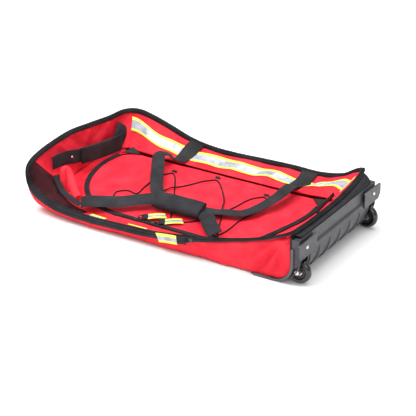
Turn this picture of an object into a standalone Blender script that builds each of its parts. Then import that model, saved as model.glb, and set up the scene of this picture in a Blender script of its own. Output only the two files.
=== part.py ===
"""Collapsible wheeled gear bag, folded flat for storage.

Metres, +X to the wheel end, +Y to the far side, +Z up. The origin is on the floor under the
middle of the bag. The bag lies on its base with the upper walls folded in over the lid.
"""
import bpy
import bmesh
from math import cos, pi, radians, sin
from mathutils import Matrix, Vector

# ---- driving dimensions -------------------------------------------------------------------
FABRIC = 0.0024             # laminated fabric wall
GAP = 0.0004                # air between touching pieces
BASE_TOP = 0.0035           # top of the fabric covered bottom panel
BASE_LENGTH_HEAD = 0.3905   # foot of the head end wall, from the middle of the bag
BASE_HALF_FOOT = 0.2035     # foot of the side walls, from the middle of the bag
CORNER_RADIUS = 0.100       # head corners of the base, in plan
WEBBING = 0.040             # webbing width
WEBBING_THICK = 0.0022
TAB_WIDTH = 0.0245          # reflective tape of the pull tabs
RIM_RADIUS = 0.0045         # perimeter zip with its piping
LID_HINGE_Y = 0.130
LID_HINGE_Z = 0.070
LID_SLOPE = 0.106           # rise of the folded lid per metre towards the far side
LID_NEAR_Y = -0.170
WHEEL_WIDTH = 0.022
WHEEL_X = 0.400
WHEEL_Y = 0.185
WHEEL_Z = 0.0333
AXLE_RADIUS = 0.004
AXLE_CLEARANCE = 0.0002
BASE_FACE_X = 0.4145        # outer face of the moulded wheel base
BASE_CURVE = 0.0775         # radius of the curve under the wheel base
BASE_WALL = 0.0032
BASE_HALF_WIDTH = 0.206
BRACKET_FACE_X = 0.4190

# Perimeter zip, as points that its shape needs, from the near wheel corner round the head end.
RIM_KEYS = [
    (0.384, -0.204, 0.139), (0.335, -0.210, 0.117), (0.275, -0.213, 0.097), (0.200, -0.215, 0.077),
    (0.125, -0.215, 0.059), (0.045, -0.215, 0.044), (-0.040, -0.215, 0.0335), (-0.130, -0.215, 0.030),
    (-0.220, -0.215, 0.027), (-0.310, -0.214, 0.031), (-0.372, -0.212, 0.0455), (-0.418, -0.210, 0.075),
    (-0.433, -0.202, 0.122), (-0.432, -0.150, 0.149), (-0.419, -0.040, 0.170), (-0.409, 0.050, 0.168),
    (-0.397, 0.130, 0.165), (-0.382, 0.185, 0.170), (-0.350, 0.209, 0.170), (-0.300, 0.214, 0.159),
    (-0.240, 0.215, 0.140), (-0.170, 0.215, 0.117), (-0.100, 0.215, 0.106), (-0.020, 0.215, 0.104),
    (0.070, 0.215, 0.107), (0.160, 0.215, 0.109), (0.240, 0.215, 0.108), (0.310, 0.214, 0.121),
    (0.355, 0.210, 0.147), (0.380, 0.193, 0.158), (0.387, 0.130, 0.147), (0.389, 0.050, 0.138),
    (0.389, -0.040, 0.135), (0.388, -0.120, 0.135), (0.387, -0.170, 0.137),
]
NEAR_RIM, HEAD_RIM, FAR_RIM = (0.0, 10.97), (11.03, 17.97), (18.03, 28.6)

# Lid outline, as (x, y), from the far head corner round the near side to the far wheel corner.
LID_KEYS = [
    (-0.316, 0.129), (-0.344, 0.104), (-0.358, 0.054), (-0.354, -0.010), (-0.334, -0.068),
    (-0.296, -0.117), (-0.246, -0.151), (-0.190, -0.168), (-0.120, -0.170), (-0.040, -0.170),
    (0.050, -0.170), (0.130, -0.170), (0.185, -0.163), (0.222, -0.140), (0.247, -0.100),
    (0.268, -0.050), (0.288, 0.005), (0.299, 0.055), (0.300, 0.095), (0.302, 0.129),
]
# Seam between the upper walls and the top panel, matched one for one with the lid outline.
SEAM_KEYS = [
    (-0.362, 0.146, 0.075), (-0.384, 0.108, 0.068), (-0.392, 0.060, 0.062), (-0.394, -0.010, 0.056),
    (-0.390, -0.080, 0.050), (-0.366, -0.140, 0.043), (-0.306, -0.176, 0.0340), (-0.220, -0.186, 0.0302),
    (-0.120, -0.188, 0.0302), (-0.040, -0.188, 0.0315), (0.050, -0.188, 0.034), (0.140, -0.188, 0.043),
    (0.230, -0.186, 0.056), (0.300, -0.182, 0.068), (0.326, -0.140, 0.076), (0.334, -0.080, 0.080),
    (0.337, -0.010, 0.082), (0.337, 0.055, 0.083), (0.334, 0.098, 0.084), (0.326, 0.137, 0.083),
]

# ---- colours: base colour, roughness, metallic ---------------------------------------------
FINISHES = {
    "red_fabric": ((0.80, 0.02, 0.045), 0.75, 0.0),
    "black_webbing": ((0.022, 0.022, 0.026), 0.85, 0.0),
    "zip_black": ((0.03, 0.03, 0.034), 0.6, 0.0),
    "mesh_lining": ((0.10, 0.02, 0.025), 0.9, 0.0),
    "reflective": ((0.62, 0.64, 0.68), 0.4, 0.0),
    "grey_plastic": ((0.07, 0.07, 0.08), 0.5, 0.0),
    "board": ((0.05, 0.05, 0.05), 0.7, 0.0),
    "tyre": ((0.01, 0.01, 0.012), 0.25, 0.0),
    "steel": ((0.75, 0.75, 0.76), 0.25, 1.0),
    "elastic": ((0.015, 0.015, 0.017), 0.8, 0.0),
}


def clear_scene():
    for obj in list(bpy.data.objects):
        bpy.data.objects.remove(obj, do_unlink=True)


clear_scene()
PARTS = bpy.data.collections.new("wheeled_gear_bag")
CUTTERS = bpy.data.collections.new("cutters")
for collection in (PARTS, CUTTERS):
    bpy.context.scene.collection.children.link(collection)


def finish(name):
    """The material of that finish, made the first time that it is asked for."""
    material = bpy.data.materials.get(name)
    if material is None:
        colour, roughness, metallic = FINISHES[name]
        material = bpy.data.materials.new(name)
        material.use_nodes = True
        shader = material.node_tree.nodes["Principled BSDF"]
        shader.inputs["Base Color"].default_value = (*colour, 1.0)
        shader.inputs["Roughness"].default_value = roughness
        shader.inputs["Metallic"].default_value = metallic
        material.diffuse_color = (*colour, 1.0)
    return material


def add(name, data, material, collection=PARTS):
    obj = bpy.data.objects.new(name, data)
    collection.objects.link(obj)
    if material:
        obj.data.materials.append(finish(material))
    return obj


def pivot(name, at, children):
    """Parents moving pieces to an empty on their joint's axis, without moving them."""
    empty = bpy.data.objects.new(name, None)
    empty.location = at
    empty.empty_display_size = 0.02
    PARTS.objects.link(empty)
    for child in children:
        child.parent = empty
        child.matrix_parent_inverse = Matrix.Translation(at).inverted()
    return empty


# ---- curves and shapes -----------------------------------------------------------------------
def on_curve(keys, u, closed=False):
    """Point at parameter u on the Catmull-Rom curve through the keys; u counts keys."""
    count = len(keys)
    i = int(u) if u < count - 1 or closed else count - 2
    f = u - i

    def key(k):
        return Vector(keys[k % count]) if closed else Vector(keys[min(max(k, 0), count - 1)])

    a, b, c, d = key(i - 1), key(i), key(i + 1), key(i + 2)
    return 0.5 * (2 * b + (c - a) * f + (2 * a - 5 * b + 4 * c - d) * f * f + (3 * b - a - 3 * c + d) * f ** 3)


def stretch(keys, span, count, closed=False):
    """Evenly spaced parameters along a stretch of a curve, as points."""
    low, high = span
    return [on_curve(keys, low + (high - low) * k / count, closed) for k in range(count + 1)]


def rim(span, count, drop=0.0, inset=0.0):
    """Points beside the perimeter zip: below it by drop and towards the middle by inset."""
    low, high = span
    total = len(RIM_KEYS)
    points = []
    for k in range(count + 1):
        u = (low + (high - low) * k / count) % total
        p = on_curve(RIM_KEYS, u, closed=True)
        after = on_curve(RIM_KEYS, (u + 0.05) % total, closed=True)
        before = on_curve(RIM_KEYS, (u - 0.05) % total, closed=True)
        ahead = after - before
        inward = ahead.cross(Vector((0, 0, 1))).normalized()
        down = ahead.cross(inward).normalized()
        points.append(p + inward * inset + down * drop)
    return points


def lid_height(y):
    return LID_HINGE_Z + (y - LID_HINGE_Y) * LID_SLOPE


def sheet(name, rows, material, thickness=FABRIC, offset=-1.0):
    """A skin through rows of points, given its thickness on the side away from its normals."""
    mesh = bpy.data.meshes.new(name)
    width = len(rows[0])
    vertices = [p for row in rows for p in row]
    faces = []
    for r in range(len(rows) - 1):
        for c in range(width - 1):
            k = r * width + c
            faces.append((k, k + 1, k + width + 1, k + width))
    mesh.from_pydata(vertices, [], faces)
    obj = add(name, mesh, material)
    solid = obj.modifiers.new("thickness", "SOLIDIFY")
    solid.thickness = thickness
    solid.offset = offset
    return obj


def bow(start, end, out_start, out_end, count):
    """Points on a cubic curve that leaves start by out_start and arrives at end from out_end."""
    start, end = Vector(start), Vector(end)
    b, c = start + Vector(out_start), end + Vector(out_end)
    points = []
    for k in range(count + 1):
        t = k / count
        s = 1 - t
        points.append(s ** 3 * start + 3 * s * s * t * b + 3 * s * t * t * c + t ** 3 * end)
    return points


def columns_to_rows(columns):
    """Rows from the last point of each column to its first, so that the skin faces outwards."""
    return [list(row) for row in zip(*columns)][::-1]


def tube(name, points, radius, material, closed=False, resolution=1):
    curve = bpy.data.curves.new(name, "CURVE")
    curve.dimensions = "3D"
    curve.bevel_depth = radius
    curve.bevel_resolution = resolution
    curve.use_fill_caps = True
    spline = curve.splines.new("POLY")
    spline.points.add(len(points) - 1)
    for target, p in zip(spline.points, points):
        target.co = (*p, 1.0)
    spline.use_cyclic_u = closed
    return add(name, curve, material)


def plate(name, outline, thickness, material, matrix, collection=PARTS):
    """A flat outline extruded to its thickness; matrix takes the outline's plane into place."""
    curve = bpy.data.curves.new(name, "CURVE")
    curve.dimensions = "2D"
    curve.fill_mode = "BOTH"
    curve.extrude = thickness / 2
    spline = curve.splines.new("POLY")
    spline.points.add(len(outline) - 1)
    for target, p in zip(spline.points, outline):
        target.co = (p[0], p[1], 0.0, 1.0)
    spline.use_cyclic_u = True
    obj = add(name, curve, material, collection)
    obj.matrix_world = matrix
    return obj


def rounded_box(x0, y0, x1, y1, radii, steps=4):
    """Outline of a rectangle with its own radius at each corner, from the low corner round."""
    corners = [(x0, y0, pi), (x1, y0, 1.5 * pi), (x1, y1, 0.0), (x0, y1, 0.5 * pi)]
    outline = []
    for (x, y, turn), r in zip(corners, radii):
        cx = x + r if x == x0 else x - r
        cy = y + r if y == y0 else y - r
        for k in range(steps + 1):
            angle = turn + 0.5 * pi * k / steps
            outline.append((cx + r * cos(angle), cy + r * sin(angle)))
    return outline


def strap(name, points, material, width=WEBBING, thickness=WEBBING_THICK, across=None):
    """Flat webbing along a path. It lies flat unless across gives the way that its width runs."""
    left, right = [], []
    for k, p in enumerate(points):
        ahead = points[min(k + 1, len(points) - 1)] - points[max(k - 1, 0)]
        side = Vector(across) if across else Vector((0, 0, 1)).cross(ahead)
        side = (side - ahead * side.dot(ahead) / ahead.length_squared).normalized() * width / 2
        left.append(p + side)
        right.append(p - side)
    return sheet(name, [left, right], material, thickness, offset=0.0)


def turned(name, profile, at, material, steps=24, collection=PARTS):
    """A turned piece: profile is (radius, station), top to bottom, and its axis lies along Y."""
    mesh = bpy.data.meshes.new(name)
    vertices = [(r, 0.0, s) for r, s in profile]
    mesh.from_pydata(vertices, [(k, k + 1) for k in range(len(vertices) - 1)], [])
    obj = add(name, mesh, material, collection)
    screw = obj.modifiers.new("turn", "SCREW")
    screw.steps = steps
    screw.render_steps = steps
    screw.use_merge_vertices = True
    screw.merge_threshold = 0.00005
    obj.matrix_world = Matrix.Translation(at) @ Matrix.Rotation(-pi / 2, 4, "X")
    return obj


def ring_turned(name, profile, at, material, steps=24):
    """A turned ring: the closed profile is joined back to its first point."""
    return turned(name, profile + [profile[0]], at, material, steps)


def block(name, low, high, material, bevel=0.0, collection=PARTS):
    mesh = bpy.data.meshes.new(name)
    shape = bmesh.new()
    bmesh.ops.create_cube(shape, size=1.0)
    low, high = Vector(low), Vector(high)
    size, middle = high - low, (high + low) / 2
    for vertex in shape.verts:
        vertex.co = Vector((vertex.co.x * size.x, vertex.co.y * size.y, vertex.co.z * size.z))
    shape.to_mesh(mesh)
    shape.free()
    obj = add(name, mesh, material, collection)
    obj.location = middle
    if bevel:
        edge = obj.modifiers.new("edge", "BEVEL")
        edge.width = bevel
        edge.segments = 1
    return obj


def cut(obj, cutter):
    boolean = obj.modifiers.new("cut", "BOOLEAN")
    boolean.object = cutter
    boolean.operation = "DIFFERENCE"
    cutter.hide_render = True
    cutter.display_type = "WIRE"


# ---- base of the bag ---------------------------------------------------------------------------
def bottom_panel():
    outline = rounded_box(-0.384, -0.197, 0.272, 0.197, (0.095, 0.012, 0.012, 0.095))
    plate("bottom_panel", outline, BASE_TOP, "red_fabric", Matrix.Translation((0, 0, BASE_TOP / 2)))


def base_board():
    outline = rounded_box(-0.372, -0.186, 0.300, 0.186, (0.085, 0.012, 0.012, 0.085))
    thickness = 0.003
    height = BASE_TOP + 0.001 + thickness / 2
    plate("base_board", outline, thickness, "board", Matrix.Translation((0, 0, height)))


# ---- outer walls -----------------------------------------------------------------------------
def floor_point(p):
    """Foot of the outer wall below a rim point: straight sides, and round corners at the head."""
    x = min(max(p.x, CORNER_RADIUS - BASE_LENGTH_HEAD), 0.332)
    y = min(max(p.y, CORNER_RADIUS - BASE_HALF_FOOT), BASE_HALF_FOOT - CORNER_RADIUS)
    centre = Vector((x, y, 0))
    if x >= 0:
        out = Vector((0, CORNER_RADIUS if p.y > 0 else -CORNER_RADIUS, 0))
    else:
        out = (Vector((p.x, p.y, 0)) - centre).normalized() * CORNER_RADIUS
    return centre + out + Vector((0, 0, BASE_TOP + 0.0006))


def outer_wall(name, span, count):
    """Outer wall from its foot up to the perimeter zip, rounded where it meets the floor."""
    columns = []
    for high in rim(span, count, drop=RIM_RADIUS + 0.0026):
        low = floor_point(high)
        out = Vector((high.x - low.x, high.y - low.y, 0))
        columns.append(bow(low, high, out * 0.8, (0, 0, -0.55 * (high.z - low.z)), 4))
    sheet(name, columns_to_rows(columns), "red_fabric")


def outer_walls():
    outer_wall("near_side_wall", NEAR_RIM, 22)
    outer_wall("head_end_wall", HEAD_RIM, 14)
    outer_wall("far_side_wall", FAR_RIM, 16)


def wheel_end_wall():
    """Black end panel behind the wheel base; its lower half is set back behind the wheels."""
    count = 12
    half = 0.190
    top = [p for p in rim((29.35, 34.85), count, drop=RIM_RADIUS + 0.0026)]
    columns = []
    for k, high in enumerate(top):
        y = half - 2 * half * k / count
        low = Vector((0.318, y, BASE_TOP + 0.0050))
        columns.append(bow(low, high, (0.017, 0, 0.004), (-0.029, 0, -0.045), 5))
    sheet("wheel_end_wall", columns_to_rows(columns), "zip_black")


def rim_zip():
    points = stretch(RIM_KEYS, (0.0, float(len(RIM_KEYS))), 84, closed=True)[:-1]
    tube("rim_zip", points, RIM_RADIUS, "zip_black", closed=True)


# ---- folded upper walls, top panel and lid --------------------------------------------------------
def far_wall_point(u, t, lift=0.0):
    """Point of the far upper wall: u runs from the head to the wheel end, t from zip to seam."""
    high = rim((17.6 + 11.6 * u,) * 2, 1, drop=0.0010, inset=RIM_RADIUS + 0.0028)[0]
    low = Vector((-0.345 + 0.663 * u, LID_HINGE_Y + 0.006 + 0.012 * (1 - u) ** 6,
                  LID_HINGE_Z + 0.004 + 0.008 * u ** 8))
    sag = Vector((0, 0, -0.0075)) * 4 * t * (1 - t)
    return high.lerp(low, t) + sag + Vector((0, -0.35, 0.94)) * lift


def far_upper_wall():
    """Far upper wall, folded in from the zip down to the lid's hinge seam."""
    columns, steps = 24, 4
    rows = [[far_wall_point(k / columns, r / steps) for k in range(columns + 1)] for r in range(steps + 1)]
    sheet("far_upper_wall", rows[::-1], "red_fabric")


def upper_wall(name, rim_span, seam_span, count, sag):
    """A folded upper wall between the perimeter zip and the top panel's seam."""
    top = rim(rim_span, count, drop=0.0010, inset=RIM_RADIUS + 0.0028)
    seam = stretch(SEAM_KEYS, seam_span, count)
    columns = []
    for high, low in zip(top, seam):
        columns.append(bow(high, low, (low - high) * 0.3 + Vector(sag), (high - low) * 0.3 + Vector(sag), 3))
    return sheet(name, columns_to_rows(columns), "red_fabric")


def folded_walls():
    far_upper_wall()
    upper_wall("near_upper_wall", (1.6, 9.0), (12.7, 6.3), 18, (0, 0, 0.0))
    upper_wall("head_upper_wall", (12.8, 17.1), (4.3, 0.6), 12, (0.004, 0, -0.002))
    upper_wall("wheel_end_upper_wall", (29.6, 34.7), (18.7, 13.4), 12, (0, 0, -0.004))


def top_panel():
    """The U of fabric between the upper walls' seam and the lid's zip."""
    count = 40
    outer = stretch(SEAM_KEYS, (0.0, 19.0), count)
    inner = lid_edge(0.0082, count, span=(0.0, 19.0))
    columns = []
    for a, b in zip(outer, inner):
        a = a - (a - b).normalized() * 0.0040
        middle = (a + b) / 2 - Vector((0, 0, 0.10 * (a - b).length))
        columns.append([a, middle, b])
    sheet("top_panel", columns_to_rows(columns)[::-1], "red_fabric")


def lid_edge(offset, count=44, lift=0.0, span=(1.0, 18.0)):
    """The lid's zip line, moved out of the lid by offset and lifted off it by lift."""
    keys = [(x, y, 0.0) for x, y in LID_KEYS]
    low, high = span
    points = []
    for k in range(count + 1):
        u = low + (high - low) * k / count
        p = on_curve(keys, u)
        ahead = on_curve(keys, min(u + 0.05, 19.0)) - on_curve(keys, max(u - 0.05, 0.0))
        out = ahead.cross(Vector((0, 0, 1))).normalized()
        p = p + out * offset
        p.z = lid_height(p.y) + lift
        points.append(p)
    return points


def lid_panel():
    """Lid, hinged at the far seam; its rows run from the hinge line to the near zip."""
    columns, steps = 20, 5
    near = lid_edge(-0.0064, columns)
    rows = []
    for r in range(steps + 1):
        f = r / steps
        row = []
        for k, edge in enumerate(near):
            far = Vector((-0.316 + 0.617 * k / columns, LID_HINGE_Y - 0.001, 0.0))
            p = far.lerp(edge, f)
            row.append(Vector((p.x, p.y, lid_height(p.y))))
        rows.append(row)
    sheet("lid_panel", rows, "red_fabric", 0.0026, offset=0.0)


def lid_zip():
    """Two halves of the lid's zip: the outer stays on the bag and the inner opens with the lid."""
    strap("lid_zip_bag_half", lid_edge(0.0032), "zip_black", 0.0056, 0.0030)
    strap("lid_zip_lid_half", lid_edge(-0.0030), "zip_black", 0.0056, 0.0030)


# ---- trim on the bag -------------------------------------------------------------------------
def far_trim():
    """Reflective tape along the far wall, and the two webbing straps that cross it."""
    columns = 24
    rows = [[far_wall_point(0.02 + 0.96 * k / columns, t, 0.0032) for k in range(columns + 1)]
            for t in (0.26, 0.38, 0.50, 0.62, 0.74)]
    sheet("far_reflective_tape", rows[::-1], "reflective", 0.0012, offset=0.0)
    for name, top, low in (("far_wall_strap_left", 0.323, 0.270), ("far_wall_strap_right", 0.696, 0.800)):
        rows = []
        for k in range(6):
            t = 0.05 + 0.90 * k / 5
            u, half = top + (low - top) * t, 0.0215 + 0.0085 * t
            rows.append([far_wall_point(u + half * side, t, 0.0066) for side in (-1, 0, 1)])
        sheet(name, rows[::-1], "black_webbing", 0.0018, offset=0.0)


def near_trim():
    """Short stretch of reflective tape that shows on the folded near wall."""
    count = 8
    rows = []
    for f in (0.30, 0.80):
        top = rim((5.6, 8.3), count, drop=0.0010, inset=RIM_RADIUS + 0.0028)
        seam = stretch(SEAM_KEYS, (9.4, 7.1), count)
        rows.append([a.lerp(b, f) + Vector((0, 0, 0.0020)) for a, b in zip(top, seam)])
    sheet("near_reflective_tape", rows, "reflective", 0.0012, offset=0.0)


def corner_gusset():
    """Mesh lined gusset inside the near head corner."""
    count = 10
    top = rim((9.3, 12.5), count, drop=0.004, inset=RIM_RADIUS + 0.003)
    columns = []
    for k, high in enumerate(top):
        f = k / count
        low = Vector((-0.302 - 0.102 * sin(f * pi / 2), -0.172 + 0.030 * f, 0.047 + 0.030 * f * f))
        high = high + Vector((0, 0, 0.001))
        columns.append([high, high.lerp(low, 0.5) - Vector((0, 0, 0.004)), low])
    sheet("corner_mesh_gusset", columns_to_rows(columns), "mesh_lining", 0.0012)


# ---- moulded wheel base ------------------------------------------------------------------------
def base_profile():
    """Outer line of the moulded base, (x, z) from its top lip to the end of its foot."""
    line = [(0.3945, 0.1285), (0.4105, 0.1285), (0.4105, 0.098), (0.4145, 0.093), (BASE_FACE_X, BASE_CURVE)]
    centre = BASE_FACE_X - BASE_CURVE
    for k in range(1, 9):
        angle = 0.5 * pi * k / 8
        line.append((centre + BASE_CURVE * cos(angle), BASE_CURVE - BASE_CURVE * sin(angle)))
    line.append((0.2745, 0.0))
    return line


def wheel_base():
    """Moulded shell with six overlapping skid ribs, cut out over the wheels."""
    ribs, spacing, rise = 6, 0.055, 0.0026
    first = -0.5 * ribs * spacing
    stations = [(-BASE_HALF_WIDTH, 0.0), (first - 0.002, 0.0)]
    for k in range(ribs):
        stations.append((first + k * spacing, rise))
        stations.append((first + (k + 1) * spacing - 0.003, 0.0))
    stations.append((BASE_HALF_WIDTH, 0.0))
    profile = base_profile()
    rows = []
    for index, (x, z) in enumerate(profile):
        ahead = profile[min(index + 1, len(profile) - 1)]
        behind = profile[max(index - 1, 0)]
        along = Vector((ahead[0] - behind[0], ahead[1] - behind[1])).normalized()
        weight = sin(pi * min(max((index - 4) / 8, 0.0), 1.0))
        row = []
        for y, out in stations:
            lift = out * weight
            row.append(Vector((x - along.y * lift, y, z + along.x * lift)))
        rows.append(row)
    base = sheet("wheel_base", rows[::-1], "grey_plastic", BASE_WALL)
    for side in (-1, 1):
        outline = rounded_box(-0.0166, -0.02, 0.0178, 0.0745, (0.001, 0.001, 0.008, 0.008))
        place = Matrix(((0, 0, 1, 0.40), (1, 0, 0, side * WHEEL_Y), (0, 1, 0, 0), (0, 0, 0, 1)))
        name = "wheel_slot_near" if side < 0 else "wheel_slot_far"
        if side < 0:
            outline = [(-y, z) for y, z in reversed(outline)]
        cutter = as_mesh(plate(name, outline, 0.12, None, place, CUTTERS))
        cut(base, cutter)


def as_mesh(curve_object):
    """The same object as a welded mesh, which a Boolean can use."""
    name = curve_object.name
    graph = bpy.context.evaluated_depsgraph_get()
    mesh = bpy.data.meshes.new_from_object(curve_object.evaluated_get(graph))
    shape = bmesh.new()
    shape.from_mesh(mesh)
    bmesh.ops.remove_doubles(shape, verts=shape.verts, dist=0.00002)
    shape.to_mesh(mesh)
    shape.free()
    place = curve_object.matrix_world.copy()
    collection = curve_object.users_collection[0]
    bpy.data.objects.remove(curve_object, do_unlink=True)
    obj = bpy.data.objects.new(name, mesh)
    collection.objects.link(obj)
    obj.matrix_world = place
    return obj


def across_y(at):
    """Takes an outline drawn in (x, z) into place, with its thickness along Y."""
    return Matrix(((1, 0, 0, at[0]), (0, 0, -1, at[1]), (0, 1, 0, at[2]), (0, 0, 0, 1)))


def across_x(at):
    """Takes an outline drawn in (y, z) into place, with its thickness along X."""
    return Matrix(((0, 0, 1, at[0]), (1, 0, 0, at[1]), (0, 1, 0, at[2]), (0, 0, 0, 1)))


def brackets():
    """Raised end plates of the base, each with one domed rivet."""
    thickness = BRACKET_FACE_X - BASE_FACE_X - 2 * GAP
    for side, word in ((-1, "near"), (1, "far")):
        outline = [(0.132, 0.083), (0.139, 0.0775), (0.214, 0.0775), (0.225, 0.091), (0.225, 0.114)]
        for k in range(5):
            angle = 0.5 * pi * k / 4
            outline.append((0.219 + 0.006 * cos(angle), 0.114 + 0.006 * sin(angle)))
        outline += [(0.136, 0.122), (0.132, 0.118)]
        if side < 0:
            outline = [(-y, z) for y, z in reversed(outline)]
        middle = (BASE_FACE_X + GAP + BRACKET_FACE_X - GAP) / 2 + 0.0002
        plate("wheel_bracket_" + word, outline, thickness, "grey_plastic", across_x((middle, 0, 0)))
        dome = [(0.0, 0.0024), (0.0026, 0.0020), (0.0044, 0.0010), (0.0050, 0.0), (0.0, 0.0)]
        rivet = turned("bracket_rivet_" + word, dome, (0, 0, 0), "steel", 16)
        rivet.matrix_world = Matrix.Translation((BRACKET_FACE_X + GAP, side * 0.184, 0.103)) @ \
            Matrix.Rotation(pi / 2, 4, "Y")


def corner_guards():
    """Moulded strips round the base's lower corners, outside the fabric side walls."""
    radius, half = 0.0515, 0.0033
    centre = (0.3405, radius + half + 0.0002)

    def line(r, turn):
        return [(centre[0] + r * cos(a), centre[1] - r * sin(a)) for a in turn]

    turn = [0.5 * pi * k / 7 for k in range(8)]
    outer = [(centre[0] + radius + half, 0.100)] + line(radius + half, turn) + [(0.283, 0.0002)]
    inner = [(0.283, 0.0002 + 2 * half)] + line(radius - half, turn[::-1]) + [(centre[0] + radius - half, 0.100)]
    for side, word in ((-1, "near"), (1, "far")):
        plate("corner_guard_" + word, outer + inner, 0.006, "grey_plastic",
              across_y((0, side * (BASE_HALF_WIDTH + 0.0005 + 0.003), 0)))


def fork_outline():
    """Cheek of the wheel fork in (x, z): a box with a round boss about the axle."""
    points = [(0.3630, 0.0722), (0.3630, 0.0250), (0.3860, 0.0245)]
    for k in range(7):
        angle = radians(225 + 25 * k)
        points.append((WHEEL_X + 0.0085 * cos(angle), WHEEL_Z + 0.0085 * sin(angle)))
    points += [(0.4075, 0.053), (0.4075, 0.0722)]
    return points


def forks_and_axles():
    half = 0.0143
    for side, word in ((-1, "near"), (1, "far")):
        fork = as_mesh(plate("wheel_fork_" + word, fork_outline(), 2 * half, "grey_plastic",
                             across_y((0, side * WHEEL_Y, 0))))
        fork.data.materials.clear()
        fork.data.materials.append(finish("grey_plastic"))
        room = WHEEL_WIDTH / 2 + 0.0009
        cutter = block("fork_slot_" + word, (0.3655, side * WHEEL_Y - room, -0.1),
                       (0.5, side * WHEEL_Y + room, 0.0690), None, collection=CUTTERS)
        cut(fork, cutter)
        hole = turned("axle_hole_" + word, [(0.0, 0.03), (0.0043, 0.03), (0.0043, -0.03), (0.0, -0.03)],
                      (WHEEL_X, side * WHEEL_Y, WHEEL_Z), None, 20, CUTTERS)
        cut(fork, hole)
        outer = half + 0.0004
        profile = [(0.0, outer + 0.0022), (0.0052, outer + 0.0022), (0.0064, outer + 0.0010), (0.0064, outer),
                   (AXLE_RADIUS, outer), (AXLE_RADIUS, -half - 0.0006), (0.0, -half - 0.0006)]
        axle = turned("axle_" + word, profile, (WHEEL_X, side * WHEEL_Y, WHEEL_Z), "steel", 24)
        if side < 0:
            axle.matrix_world = Matrix.Translation((WHEEL_X, -WHEEL_Y, WHEEL_Z)) @ Matrix.Rotation(pi / 2, 4, "X")


# ---- wheels ------------------------------------------------------------------------------------
def wheels():
    """Tyre, plastic hub and ball bearing of each wheel, turned about the axle."""
    half = WHEEL_WIDTH / 2
    for side, word in ((-1, "near"), (1, "far")):
        at = (WHEEL_X, side * WHEEL_Y, WHEEL_Z)
        tyre = [(0.0198, 0.0072), (0.0255, half - 0.0004)]
        for k in range(7):
            angle = radians(78 - 26 * k)
            tyre.append((0.0238 + 0.0092 * cos(angle), (half - 0.0015) * sin(angle)))
        tyre += [(0.0255, -half + 0.0004), (0.0198, -0.0072)]
        hub = [(0.0112, 0.0068), (0.0150, 0.0074), (0.0194, 0.0068), (0.0194, -0.0068), (0.0150, -0.0074),
               (0.0112, -0.0068)]
        bore = AXLE_RADIUS + AXLE_CLEARANCE / 2 - 0.00001
        bearing = [(bore, 0.0062), (0.0068, 0.0062), (0.0078, 0.0056), (0.0108, 0.0062), (0.0108, -0.0062),
                   (bore, -0.0062)]
        pieces = [ring_turned("tyre_" + word, tyre, at, "tyre", 28),
                  ring_turned("wheel_hub_" + word, hub, at, "grey_plastic", 20),
                  ring_turned("wheel_bearing_" + word, bearing, at, "steel", 24)]
        for piece in pieces:
            piece.matrix_world = Matrix.Identity(4)
            piece.data.transform(Matrix.Rotation(-pi / 2, 4, "X"))
            piece.modifiers["turn"].axis = "Y"
            piece.location = at


# ---- handles -----------------------------------------------------------------------------------
def smooth_path(keys, count):
    return stretch(keys, (0.0, float(len(keys) - 1)), count)


NEAR_HANDLE_LEAN = (0.0, 0.88, 0.47)    # the way that the near handle's width runs


def carry_handles():
    """The two webbing handles; the padded wrap sits round the near one, over the far one."""
    near = [(-0.272, -0.1820, 0.0500), (-0.258, -0.176, 0.0560), (-0.220, -0.166, 0.0610),
            (-0.170, -0.148, 0.0650), (-0.130, -0.118, 0.0690), (-0.094, -0.092, 0.0715),
            (0.062, -0.092, 0.0720), (0.088, -0.116, 0.0690), (0.112, -0.141, 0.0640),
            (0.134, -0.160, 0.0620), (0.146, -0.1720, 0.0620)]
    left, right = [Vector(p) for p in near[:6]], [Vector(p) for p in near[6:]]
    path = smooth_path(left, 14) + smooth_path(right, 11)
    strap("near_carry_handle", path, "black_webbing", 0.038, across=NEAR_HANDLE_LEAN)
    far = [(-0.186, 0.1390, 0.0865), (-0.199, 0.124, 0.0990), (-0.204, 0.098, 0.1030), (-0.172, 0.040, 0.0900),
           (-0.128, -0.030, 0.0700), (-0.090, -0.058, 0.0598), (-0.010, -0.062, 0.0592), (0.062, -0.062, 0.0610),
           (0.110, -0.054, 0.0665), (0.150, -0.036, 0.0670), (0.180, 0.008, 0.0770), (0.200, 0.058, 0.0910),
           (0.206, 0.098, 0.1000), (0.206, 0.124, 0.0985), (0.206, 0.1390, 0.0880)]
    strap("far_carry_handle", smooth_path(far, 34), "black_webbing", 0.034)


def handle_wrap():
    """Padded wrap about the near handle's middle; the webbing runs into it at both ends."""
    low, high = Vector((-0.0885, -0.0920, 0.0715)), Vector((0.0565, -0.0920, 0.0720))
    along = (high - low).normalized()
    across = Vector(NEAR_HANDLE_LEAN).normalized()
    up = along.cross(across)
    rows = []
    sections = 8
    for k in range(sections + 1):
        f = k / sections
        bulge = 0.0022 * sin(pi * f)
        ring = []
        for corner in range(12):
            angle = 2 * pi * corner / 12
            flat = 0.025 * abs(cos(angle)) ** 0.6 * (1 if cos(angle) > 0 else -1)
            tall = (0.0122 + bulge) * abs(sin(angle)) ** 0.7 * (1 if sin(angle) > 0 else -1)
            ring.append(low.lerp(high, f) + across * flat + up * tall)
        rows.append(ring)
    wrap = loft("handle_wrap", rows, "black_webbing")
    slot = block("handle_wrap_slot", (-0.12, -0.0198, -0.0017), (0.12, 0.0198, 0.0017), None, collection=CUTTERS)
    slot.matrix_world = Matrix.Translation((low + high) / 2) @ Matrix(
        (Vector((along.x, across.x, up.x)), Vector((along.y, across.y, up.y)), Vector((along.z, across.z, up.z)))
    ).to_4x4()
    cut(wrap, slot)


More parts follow.
